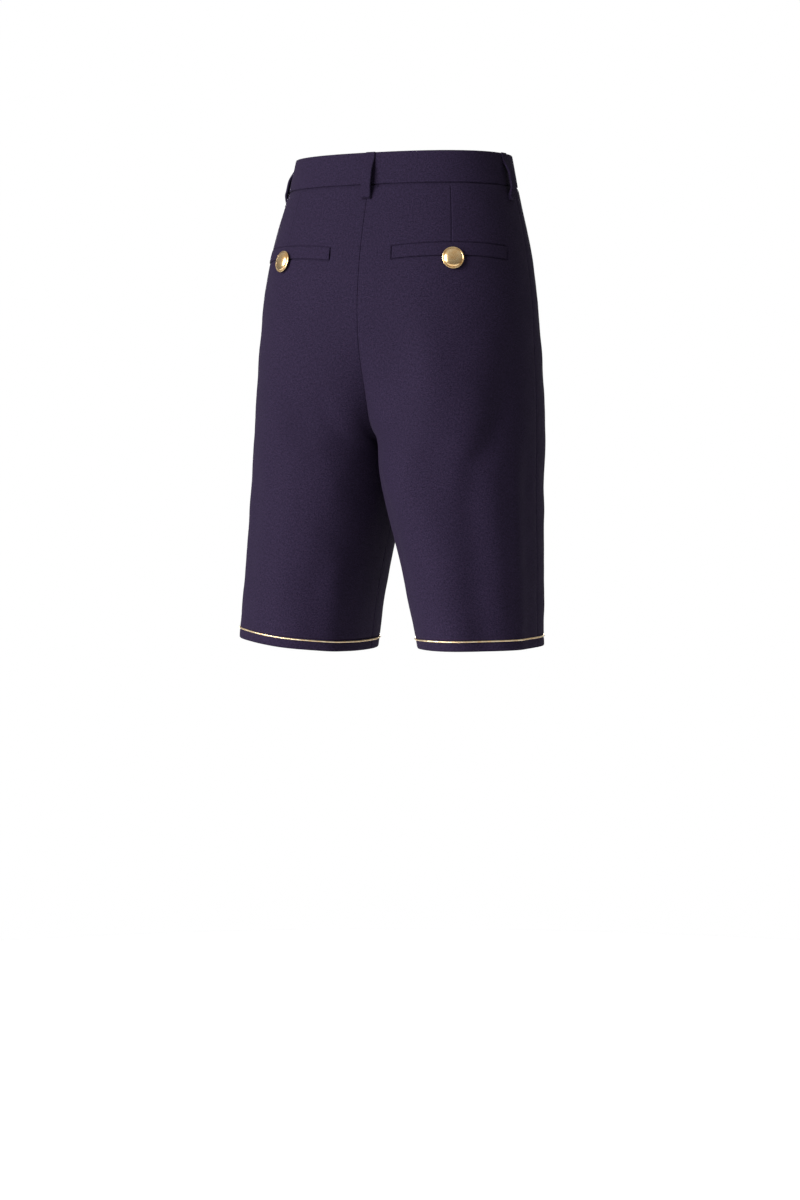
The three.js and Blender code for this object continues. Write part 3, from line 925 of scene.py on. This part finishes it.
def stitches_on(wall, line, trims, sunk=0.5):
    """Starts and ends of stitches along a line of rows and columns on a wall's dressed face."""
    u, v = line[:, 0], line[:, 1]
    lift = trims.thread_radius * (1 - sunk)
    points = wall.dressed(u, v) + wall.dressed_normal(u, v) * lift
    share = trims.stitch_length / (trims.stitch_length + trims.stitch_gap)
    ends = points[:-1] + (points[1:] - points[:-1]) * share
    return points[:-1], ends


# Finishes


def add_node(tree, kind, inputs=None, **settings):
    """A shader node with its settings and its inputs, each a value or another node's output."""
    made = tree.nodes.new("ShaderNode" + kind)
    for name, value in settings.items():
        setattr(made, name, value)
    for name, value in (inputs or {}).items():
        if isinstance(value, bpy.types.NodeSocket):
            tree.links.new(value, made.inputs[name])
        else:
            made.inputs[name].default_value = value
    return made


def new_material(name, inputs):
    """A material with a plain shader, its node tree and the shader."""
    material = bpy.data.materials.new(name)
    material.use_nodes = True
    tree = material.node_tree
    tree.nodes.clear()
    shader = add_node(tree, "BsdfPrincipled", inputs)
    output = add_node(tree, "OutputMaterial")
    tree.links.new(shader.outputs["BSDF"], output.inputs["Surface"])
    return material, tree, shader


def mixed(tree, factor, low, high):
    """A colour between two others."""
    mix = add_node(tree, "Mix", {"Factor": factor}, data_type="RGBA")
    for name, colour in (("A", low), ("B", high)):
        socket = next(s for s in mix.inputs if s.name == name and s.type == "RGBA")
        if isinstance(colour, bpy.types.NodeSocket):
            tree.links.new(colour, socket)
        else:
            socket.default_value = (*colour[:3], 1)
    return next(s for s in mix.outputs if s.type == "RGBA")


def ranged(tree, value, low, high, out_low=0.0, out_high=1.0):
    """A value brought from one range to another."""
    inputs = {"Value": value, "From Min": low, "From Max": high, "To Min": out_low, "To Max": out_high}
    return add_node(tree, "MapRange", inputs).outputs["Result"]


def noise(tree, place, scale, detail=3.0, roughness=0.55):
    """A noise pattern, from 0 to 1."""
    inputs = {"Vector": place, "Scale": scale, "Detail": detail, "Roughness": roughness}
    return add_node(tree, "TexNoise", inputs).outputs["Fac"]


def thread_lines(tree, place, pitch, direction, wobble):
    """Fine parallel threads, from 0 between them to 1 along them."""
    inputs = {
        "Vector": place,
        "Scale": 2 * math.pi / (20 * pitch),
        "Distortion": wobble,
        "Detail": 2.0,
        "Detail Scale": 1.6,
    }
    wave = add_node(tree, "TexWave", inputs, wave_type="BANDS", bands_direction=direction)
    return wave.outputs["Fac"]


def maths(tree, operation, a, b=0.5):
    """One sum on two values."""
    made = add_node(tree, "Math", operation=operation)
    for socket, value in zip(made.inputs, (a, b)):
        if isinstance(value, bpy.types.NodeSocket):
            tree.links.new(value, socket)
        else:
            socket.default_value = value
    return made.outputs[0]


def crepe_material(cloth):
    """Fine matte wool crepe: crossed uneven threads, a pebbled face and a faint melange."""
    material, tree, shader = new_material(
        "crepe_cloth",
        {
            "Roughness": 0.85,
            "Specular IOR Level": 0.08,
            "Sheen Weight": 0.03,
            "Sheen Roughness": 0.45,
            "Sheen Tint": (0.72, 0.62, 0.86, 1),
        },
    )
    place = add_node(tree, "UVMap", uv_map="grain").outputs["UV"]
    warp_threads = thread_lines(tree, place, cloth.thread_pitch, "X", 2.2)
    weft_threads = thread_lines(tree, place, cloth.thread_pitch * 1.12, "Y", 2.6)
    weave = maths(tree, "MAXIMUM", warp_threads, weft_threads)
    pebbles = noise(tree, place, 1 / cloth.pebble_size, 4.0, 0.62)
    flecks = noise(tree, place, 0.62 / cloth.pebble_size, 2.0, 0.7)
    clouds = noise(tree, place, 1 / (70 * MM), 2.0, 0.5)
    mottle = noise(tree, place, 0.42 / cloth.pebble_size, 3.0, 0.6)
    light = maths(tree, "ADD", maths(tree, "MULTIPLY", pebbles, 0.72), maths(tree, "MULTIPLY", mottle, 0.28))
    colour = mixed(tree, ranged(tree, light, 0.38, 0.64), cloth.shade_colour, cloth.light_colour)
    colour = mixed(tree, ranged(tree, flecks, 0.56, 0.76, 0.0, 0.55), colour, cloth.fleck_colour)
    shaded = mixed(tree, ranged(tree, clouds, 0.3, 0.7, 0.0, 0.12), colour, cloth.shade_colour)
    tree.links.new(shaded, shader.inputs["Base Color"])
    height = maths(tree, "ADD", maths(tree, "MULTIPLY", weave, 0.45), maths(tree, "MULTIPLY", pebbles, 0.8))
    relief = add_node(tree, "Bump", {"Height": height, "Strength": 0.5, "Distance": 0.12 * MM})
    tree.links.new(relief.outputs["Normal"], shader.inputs["Normal"])
    return material


def thread_material(cloth):
    """Sewing thread a little darker and glossier than the cloth, with its twist."""
    material, tree, shader = new_material("sewing_thread", {"Roughness": 0.6, "Sheen Weight": 0.1})
    place = add_node(tree, "TexCoord").outputs["Object"]
    twist = noise(tree, place, 1 / (0.4 * MM), 1.0)
    shade = tuple(0.8 * c for c in cloth.shade_colour[:3])
    tree.links.new(mixed(tree, twist, shade, cloth.light_colour), shader.inputs["Base Color"])
    relief = add_node(tree, "Bump", {"Height": twist, "Strength": 0.4, "Distance": 0.05 * MM})
    tree.links.new(relief.outputs["Normal"], shader.inputs["Normal"])
    return material


def gold_material(name, dark, light, roughness):
    """Polished gold with a faint haze and hairline wear."""
    material, tree, shader = new_material(name, {"Metallic": 1.0})
    place = add_node(tree, "TexCoord").outputs["Object"]
    haze = noise(tree, place, 1 / (6 * MM), 3.0)
    wear = noise(tree, place, 1 / (0.7 * MM), 5.0, 0.7)
    colour = mixed(tree, ranged(tree, haze, 0.35, 0.65), dark, light)
    tree.links.new(colour, shader.inputs["Base Color"])
    rough = ranged(tree, wear, 0.35, 0.75, roughness, roughness + 0.12)
    tree.links.new(rough, shader.inputs["Roughness"])
    relief = add_node(tree, "Bump", {"Height": wear, "Strength": 0.08, "Distance": 0.1 * MM})
    tree.links.new(relief.outputs["Normal"], shader.inputs["Normal"])
    return material


def horn_material(trims):
    """Dark horn with cloudy streaks and a satin polish."""
    material, tree, shader = new_material("streaked_horn", {"Specular IOR Level": 0.5, "Coat Weight": 0.2})
    place = add_node(tree, "TexCoord").outputs["Object"]
    stretched = add_node(tree, "Mapping", {"Vector": place, "Scale": (1, 1, 4)}).outputs["Vector"]
    streaks = noise(tree, stretched, 1 / (5 * MM), 4.0, 0.6)
    colour = mixed(tree, ranged(tree, streaks, 0.35, 0.7), trims.horn_colour, trims.horn_light)
    tree.links.new(colour, shader.inputs["Base Color"])
    tree.links.new(ranged(tree, streaks, 0.3, 0.7, 0.25, 0.4), shader.inputs["Roughness"])
    return material


def finish(context, name):
    """One of the object's materials, made when it is first asked for."""
    if name in bpy.data.materials:
        return bpy.data.materials[name]
    cloth, trims = context.scene.shorts_cloth, context.scene.shorts_trims
    makers = {
        "crepe_cloth": lambda: crepe_material(cloth),
        "sewing_thread": lambda: thread_material(cloth),
        "warm_gold": lambda: gold_material("warm_gold", trims.gold_dark, trims.gold_light, 0.2),
        "pale_gold": lambda: gold_material("pale_gold", trims.cord_dark, trims.cord_light, 0.3),
        "streaked_horn": lambda: horn_material(trims),
    }
    return makers[name]()


# Settings


def length(name, description, default, **more):
    """A length property in metres."""
    return bpy.props.FloatProperty(
        name=name, description=description, default=default, unit="LENGTH", subtype="DISTANCE", precision=5, **more
    )


def colour(name, description, default):
    """A colour property."""
    return bpy.props.FloatVectorProperty(
        name=name, description=description, default=default, size=3, min=0, max=1, subtype="COLOR"
    )


class ShortsCloth(bpy.types.PropertyGroup):
    """Sizes and colours of the cloth."""

    thickness: length("Thickness", "Thickness of one layer of cloth", 0.8 * MM)
    seam_radius: length("Seam fold", "Radius of the cloth where it turns under at a seam", 0.42 * MM)
    seam_turning: length("Seam turning", "Width of the turnings inside the seams", 12 * MM)
    waist_turning: length("Waist turning", "Width of the turning behind the waistband", 5 * MM)
    hem_turning: length("Hem turning", "Height of the turned-up hem", 30 * MM)
    hem_radius: length("Hem fold", "Radius of the fold at the hem", 0.95 * MM)
    thread_pitch: length("Thread pitch", "Distance between two threads of the weave", 0.5 * MM)
    pebble_size: length("Pebble size", "Size of the crepe's pebbles", 1.1 * MM)
    shade_colour: colour("Shade", "Darker colour of the crepe", (0.0066, 0.0043, 0.0130))
    light_colour: colour("Light", "Lighter colour of the crepe", (0.0272, 0.0180, 0.0450))
    fleck_colour: colour("Fleck", "Colour of the crepe's reddish flecks", (0.037, 0.0160, 0.040))


class ShortsTrims(bpy.types.PropertyGroup):
    """Sizes and colours of the metal, horn and sewing."""

    rope_radius: length("Cord radius", "Radius of the metal cord at the hems", 0.98 * MM)
    rope_lay: length("Cord lay", "Length of one full twist of the metal cord", 5.2 * MM)
    stitch_length: length("Stitch", "Length of one stitch", 2.3 * MM)
    stitch_gap: length("Stitch gap", "Gap between two stitches", 0.7 * MM)
    thread_radius: length("Thread", "Radius of the sewing thread", 0.17 * MM)
    gold_dark: colour("Dark gold", "Deeper colour of the metal buttons", (0.88, 0.55, 0.24))
    gold_light: colour("Light gold", "Lighter colour of the metal buttons", (0.97, 0.72, 0.40))
    cord_dark: colour("Dark cord", "Deeper colour of the metal cords", (0.88, 0.62, 0.33))
    cord_light: colour("Light cord", "Lighter colour of the metal cords", (0.97, 0.82, 0.56))
    horn_colour: colour("Horn", "Colour of the waist button", (0.012, 0.009, 0.014))
    horn_light: colour("Light horn", "Colour of the streaks in the waist button", (0.045, 0.032, 0.035))


class ShortsStage(bpy.types.PropertyGroup):
    """The camera, the lights and the floor."""

    azimuth: bpy.props.FloatProperty(
        name="Azimuth",
        description="Turn of the camera round the shorts, from the front",
        default=math.radians(204),
        subtype="ANGLE",
    )
    distance: length("Distance", "Distance of the camera from the middle of the waist", 3.71)
    eye_height: length("Eye height", "Height of the camera above the waist", -0.266)
    aim_height: length("Aim height", "Height of the point that the camera looks at", -0.4714)
    aim_aside: length("Aim aside", "How far the camera and its aim stand to the left", 0.005)
    floor_height: length("Floor height", "Height of the floor under the waist", -1.122)
    lens: bpy.props.FloatProperty(
        name="Lens", description="Focal length of the camera", default=100, min=1, subtype="DISTANCE_CAMERA"
    )
    key_power: bpy.props.FloatProperty(
        name="Key light", description="Strength of the main light", default=5.3, min=0
    )
    key_aside: bpy.props.FloatProperty(
        name="Key aside", description="How far the main light stands to the left, per unit behind", default=1.3
    )
    key_height: bpy.props.FloatProperty(
        name="Key height", description="Angle of the lights above the ground", default=math.radians(14), subtype="ANGLE"
    )
    softness: bpy.props.FloatProperty(
        name="Softness", description="Angle that each light fills", default=math.radians(45), subtype="ANGLE"
    )
    front_power: bpy.props.FloatProperty(
        name="Front light", description="Strength of the light on the far side", default=4.4, min=0
    )
    sky: bpy.props.FloatProperty(
        name="Sky", description="Strength of the light from all round", default=0.27, min=0
    )
    pale_colour: colour("Pale", "Colour of the floor", (0.86, 0.86, 0.87))


# Pieces


class SHORTS_OT_panels(bpy.types.Operator):
    """Make the fronts and backs as thin cloth with folds, seams and turnings"""

    bl_idname = "shorts.panels"
    bl_label = "Fronts and backs"

    def execute(self, context):
        cloth = context.scene.shorts_cloth
        material = finish(context, "crepe_cloth")
        for side in SIDES:
            for part in ("front", "back"):
                panel = Panel(f"{part}_{side}")
                points, uv = panel_sheet(panel, cloth)
                rows, columns = points.shape[:2]
                obj = make_object(
                    f"{part}_panel_{side}", points, grid_faces(rows, columns), material, uv
                )
                middle = panel.dressed_normal(np.array([13.0]), np.array([7.5]))[0]
                face_out(obj, Vector((0, middle[1], 0)))
                thick = obj.modifiers.new("Thickness", "SOLIDIFY")
                thick.thickness = cloth.thickness
                thick.offset = 0
                declare_sheet(points)
                ride(obj, panel.name)
        return {"FINISHED"}


class SHORTS_OT_waistband(bpy.types.Operator):
    """Make the waistband with its lap and its facing"""

    bl_idname = "shorts.waistband"
    bl_label = "Waistband"

    def execute(self, context):
        make_strip(
            "waistband_cloth", Wall("waistband"), 2.2 * MM, 2.4 * MM, finish(context, "crepe_cloth"), 0.2 * MM, -0.35 * MM
        )
        return {"FINISHED"}


class SHORTS_OT_belt_loops(bpy.types.Operator):
    """Make the belt loops as folded strips that arch over the waistband"""

    bl_idname = "shorts.belt_loops"
    bl_label = "Belt loops"

    def execute(self, context):
        material = finish(context, "crepe_cloth")
        for place in ("back", "side_left", "side_right", "front_left", "front_right"):
            node = f"belt_loop_{place}"
            make_strip(
                f"loop_{place}", Loop(node), 2.3 * MM, 0.9 * MM, material, crown=0.35 * MM, sunk=-0.25 * MM, foot=2.3 * MM
            )
        return {"FINISHED"}


class SHORTS_OT_welts(bpy.types.Operator):
    """Make the welts of the back pockets"""

    bl_idname = "shorts.welts"
    bl_label = "Pocket welts"

    def execute(self, context):
        for side in SIDES:
            make_strip(
                f"pocket_welt_{side}",
                Wall(f"welt_{side}"),
                1.0 * MM,
                1.5 * MM,
                finish(context, "crepe_cloth"),
                crown=0.2 * MM,
                sunk=0.85 * MM,
            )
        return {"FINISHED"}


class SHORTS_OT_fly(bpy.types.Operator):
    """Make the shield behind the closed fly"""

    bl_idname = "shorts.fly"
    bl_label = "Fly shield"

    def execute(self, context):
        make_strip("fly_shield_cloth", Wall("fly_shield"), 1.6 * MM, 2.5 * MM, finish(context, "crepe_cloth"))
        return {"FINISHED"}


class SHORTS_OT_hem_cords(bpy.types.Operator):
    """Make the twisted metal cord round each hem"""

    bl_idname = "shorts.hem_cords"
    bl_label = "Hem cords"

    def execute(self, context):
        trims = context.scene.shorts_trims
        for side in SIDES:
            node = f"hem_cord_{side}"
            points, length = closed_curve(cord_path(side, trims.rope_radius), ROPE_RING_STEP)
            rings, faces = rope(points, length, trims.rope_radius, trims.rope_lay, ROPE_STRANDS, ROPE_SIDES)
            obj = make_object(f"metal_cord_{side}", rings, faces, finish(context, "pale_gold"))
            close_rim(obj)
            ride(obj, node)
        return {"FINISHED"}


class SHORTS_OT_pocket_buttons(bpy.types.Operator):
    """Make the domed metal buttons under the pocket welts"""

    bl_idname = "shorts.pocket_buttons"
    bl_label = "Pocket buttons"

    def execute(self, context):
        for side in SIDES:
            node = f"pocket_button_{side}"
            disc = Disc(node)
            radius, height = disc.radius, disc.height
            dome = [
                (radius * 0.84 * math.sin(a), height * (0.42 + 0.93 * math.cos(a)))
                for a in np.linspace(0, math.pi / 2 * 0.95, 22)
            ]
            rim = [
                (radius * x, height * y)
                for x, y in (
                    (0.845, 0.46), (0.86, 0.45), (0.875, 0.47), (0.89, 0.51), (0.92, 0.55), (0.95, 0.55),
                    (0.975, 0.51), (0.99, 0.45), (1.0, 0.34), (0.99, 0.20), (0.96, 0.10), (0.90, 0.06),
                    (0.6, 0.06), (0.0, 0.06),
                )
            ]
            points, faces = turned_button(disc, [(0.0, dome[0][1])] + dome[1:] + rim, BUTTON_SEGMENTS)
            obj = make_object(f"domed_button_{side}", points, faces, finish(context, "warm_gold"))
            close_rim(obj)
            ride(obj, node)
        return {"FINISHED"}


class SHORTS_OT_waist_button(bpy.types.Operator):
    """Make the four-hole button on the waistband, with its thread and buttonhole"""

    bl_idname = "shorts.waist_button"
    bl_label = "Waist button"

    def execute(self, context):
        trims = context.scene.shorts_trims
        disc = Disc("waist_button")
        radius, height = disc.radius, disc.height
        hole_from_middle, hole_radius, pit = 1.5 * MM, 0.62 * MM, 1.5 * MM
        rows = [
            (radius * x, height * y)
            for x, y in (
                *((r, 0.66) for r in np.linspace(0, 0.44, 22)),
                (0.50, 0.68), (0.56, 0.76), (0.62, 0.88), (0.70, 0.97), (0.79, 1.0), (0.88, 0.95),
                (0.95, 0.82), (0.99, 0.65), (1.0, 0.5), (0.98, 0.33), (0.92, 0.18), (0.82, 0.1),
                (0.5, 0.06), (0.0, 0.06),
            )
        ]
        holes = [(a * hole_from_middle, b * hole_from_middle) for a in (-1, 1) for b in (-1, 1)]

        def pressed(x, y, out):
            """The face with its four holes pressed in."""
            front = out > height * 0.3
            for a, b in holes:
                beside = np.hypot(x - a, y - b) / hole_radius
                out = out - front * pit * ease((1.25 - beside) / 0.5)
            return out

        points, faces = turned_button(disc, rows, BUTTON_SEGMENTS, pressed)
        obj = make_object("waist_button_horn", points, faces, finish(context, "streaked_horn"))
        close_rim(obj)
        ride(obj, "waist_button")

        face = height * 0.66 + trims.thread_radius * 0.6
        starts, ends = [], []
        for shift in (-0.2 * MM, 0.2 * MM):
            for (a, b), (c, d) in ((holes[0], holes[3]), (holes[1], holes[2])):
                starts.append(disc.place(a + shift, b, face))
                ends.append(disc.place(c + shift, d, face))
        points, faces = capsules(starts, ends, trims.thread_radius)
        make_threads("waist_button_thread", points, faces, context)
        return {"FINISHED"}


def buttonhole(wall, trims):
    """Starts and ends of the thread loops round the buttonhole slit, on the waistband's lap."""
    starts, ends = [], []
    along = np.arange(-BUTTONHOLE_LENGTH / 2, BUTTONHOLE_LENGTH / 2, 1.9 * trims.thread_radius)
    width = wall.column_width(1.0)
    high = wall.heights.sum(axis=0).mean()
    centre = wall.columns - BUTTONHOLE_FROM_END / width
    for edge in (-1, 1):
        for y in (0.15 * MM * edge, BUTTONHOLE_WIDTH / 2 * edge):
            u = np.full(len(along), wall.rows / 2 + y / high * wall.rows)
            v = centre + along / width
            lifted = wall.dressed(u, v) + wall.dressed_normal(u, v) * trims.thread_radius * 0.7
            (starts if abs(y) < BUTTONHOLE_WIDTH / 4 else ends).append(lifted)
    return np.concatenate(starts), np.concatenate(ends)


def make_threads(name, points, faces, context):
    """Stitches as one object that rides on the body."""
    return ride(make_object(name, points, faces, finish(context, "sewing_thread")))


class SHORTS_OT_stitching(bpy.types.Operator):
    """Make the visible sewing: the fly's curved seam, its bar tack and the buttonhole"""

    bl_idname = "shorts.stitching"
    bl_label = "Stitching"

    def execute(self, context):
        trims = context.scene.shorts_trims
        front = Panel(FLY_PANEL)
        row, column = front.heights[3].mean(), front.column_width(4.0)
        turn = np.linspace(0, math.pi / 2, 10)
        drop, aside = FLY_DEPTH - FLY_CURVE_HEIGHT, FLY_STITCH_FROM_EDGE
        corners = [(2 * MM, aside)] + [
            (drop + FLY_CURVE_HEIGHT * math.sin(a), aside * math.cos(a) + 1.2 * MM * math.sin(a)) for a in turn
        ]
        line = smooth_line(corners, trims.stitch_length + trims.stitch_gap)
        places = np.stack([line[:, 0] / row, front.columns - line[:, 1] / column], axis=1)
        starts, ends = stitches_on(front, places, trims)

        across = np.arange(-4, 5) * 0.32 * MM
        tack = np.array([[FLY_DEPTH - 1.5 * MM, x + 2.2 * MM] for x in (-1.2 * MM, 1.2 * MM)])
        tack_starts, tack_ends = [], []
        for shift in across:
            ends_of_tack = tack + [shift, 0]
            u, v = ends_of_tack[:, 0] / row, front.columns - ends_of_tack[:, 1] / column
            on = front.dressed(u, v) + front.dressed_normal(u, v) * trims.thread_radius
            tack_starts.append(on[0])
            tack_ends.append(on[1])
        points, faces = capsules(
            np.concatenate([starts, tack_starts]), np.concatenate([ends, tack_ends]), trims.thread_radius
        )
        make_threads("fly_stitching", points, faces, context)

        starts, ends = buttonhole(Wall("waistband"), trims)
        points, faces = capsules(starts, ends, trims.thread_radius)
        make_threads("buttonhole_stitching", points, faces, context)
        return {"FINISHED"}


class SHORTS_OT_stage(bpy.types.Operator):
    """Set the camera, the soft lights and the plain pale floor"""

    bl_idname = "shorts.stage"
    bl_label = "Studio"

    def execute(self, context):
        scene, stage = context.scene, context.scene.shorts_stage
        scene.view_settings.view_transform = "Standard"
        right = Vector((math.cos(stage.azimuth), math.sin(stage.azimuth), 0))
        back = Vector((math.sin(stage.azimuth), -math.cos(stage.azimuth), 0))
        aside = -stage.aim_aside * right
        eye = back * stage.distance + aside + Vector((0, 0, stage.eye_height))
        aim = aside + Vector((0, 0, stage.aim_height))
        data = bpy.data.cameras.new("camera")
        data.lens = stage.lens
        camera = bpy.data.objects.new("camera", data)
        camera.location = eye
        camera.rotation_euler = (aim - eye).to_track_quat("-Z", "Y").to_euler()
        scene.collection.objects.link(camera)
        scene.camera = camera

        lights = (
            ("key", -stage.key_aside * right + back, stage.softness, stage.key_power),
            ("front", -back, stage.softness / 2, stage.front_power),
        )
        for name, direction, angle, power in lights:
            lamp = bpy.data.lights.new(name, "SUN")
            lamp.energy = power
            lamp.angle = angle
            obj = bpy.data.objects.new(name, lamp)
            towards = direction.normalized() + Vector((0, 0, math.tan(stage.key_height)))
            obj.rotation_euler = towards.to_track_quat("Z", "Y").to_euler()
            scene.collection.objects.link(obj)

        world = bpy.data.worlds.new("studio")
        scene.world = world
        world.use_nodes = True
        tree = world.node_tree
        tree.nodes.clear()
        direction = add_node(tree, "SeparateXYZ", {"Vector": add_node(tree, "TexCoord").outputs["Generated"]})
        overhead = ranged(tree, direction.outputs["Z"], -0.1, 0.9, 0.7 * stage.sky, 1.8 * stage.sky)
        seen = add_node(tree, "LightPath").outputs["Is Camera Ray"]
        strength = maths(tree, "MAXIMUM", seen, overhead)
        shine = add_node(tree, "Background", {"Color": (1, 1, 1, 1), "Strength": strength})
        output = add_node(tree, "OutputWorld")
        tree.links.new(shine.outputs["Background"], output.inputs["Surface"])

        bm = bmesh.new()
        bmesh.ops.create_circle(bm, cap_ends=True, segments=96, radius=FLOOR_RADIUS)
        mesh = bpy.data.meshes.new("floor")
        bm.to_mesh(mesh)
        bm.free()
        floor = bpy.data.objects.new("floor", mesh)
        floor.location.z = stage.floor_height
        scene.collection.objects.link(floor)
        material, _, _ = new_material(
            "pale_floor",
            {
                "Base Color": (*stage.pale_colour, 1),
                "Roughness": 0.9,
                "Emission Color": (1, 1, 1, 1),
                "Emission Strength": 0.1,
            },
        )
        mesh.materials.append(material)
        return {"FINISHED"}


class SHORTS_PT_sidebar(bpy.types.Panel):
    """Lists the steps that build the shorts"""

    bl_idname = "SHORTS_PT_sidebar"
    bl_label = "Tailored Shorts"
    bl_space_type = "VIEW_3D"
    bl_region_type = "UI"
    bl_category = "Shorts"

    def draw(self, context):
        for operator in OPERATORS:
            self.layout.operator(operator.bl_idname)
        for group in (context.scene.shorts_cloth, context.scene.shorts_trims, context.scene.shorts_stage):
            box = self.layout.box()
            for name in group.__annotations__:
                box.prop(group, name)


GROUPS = {"shorts_cloth": ShortsCloth, "shorts_trims": ShortsTrims, "shorts_stage": ShortsStage}
OPERATORS = (
    SHORTS_OT_stage,
    SHORTS_OT_panels,
    SHORTS_OT_waistband,
    SHORTS_OT_belt_loops,
    SHORTS_OT_welts,
    SHORTS_OT_fly,
    SHORTS_OT_hem_cords,
    SHORTS_OT_pocket_buttons,
    SHORTS_OT_waist_button,
    SHORTS_OT_stitching,
)
CLASSES = (*GROUPS.values(), *OPERATORS, SHORTS_PT_sidebar)


def register():
    """Registers the classes and hangs the settings on the scene."""
    for cls in CLASSES:
        bpy.utils.register_class(cls)
    for name, group in GROUPS.items():
        setattr(bpy.types.Scene, name, bpy.props.PointerProperty(type=group))


def unregister():
    """Takes the settings and the classes away."""
    for name in GROUPS:
        delattr(bpy.types.Scene, name)
    for cls in reversed(CLASSES):
        bpy.utils.unregister_class(cls)


def main():
    """Builds the whole picture."""
    register()
    bpy.ops.shorts.stage()
    bpy.ops.shorts.panels()
    bpy.ops.shorts.waistband()
    bpy.ops.shorts.belt_loops()
    bpy.ops.shorts.welts()
    bpy.ops.shorts.fly()
    bpy.ops.shorts.hem_cords()
    bpy.ops.shorts.pocket_buttons()
    bpy.ops.shorts.waist_button()
    bpy.ops.shorts.stitching()


if __name__ == "__main__":
    main()
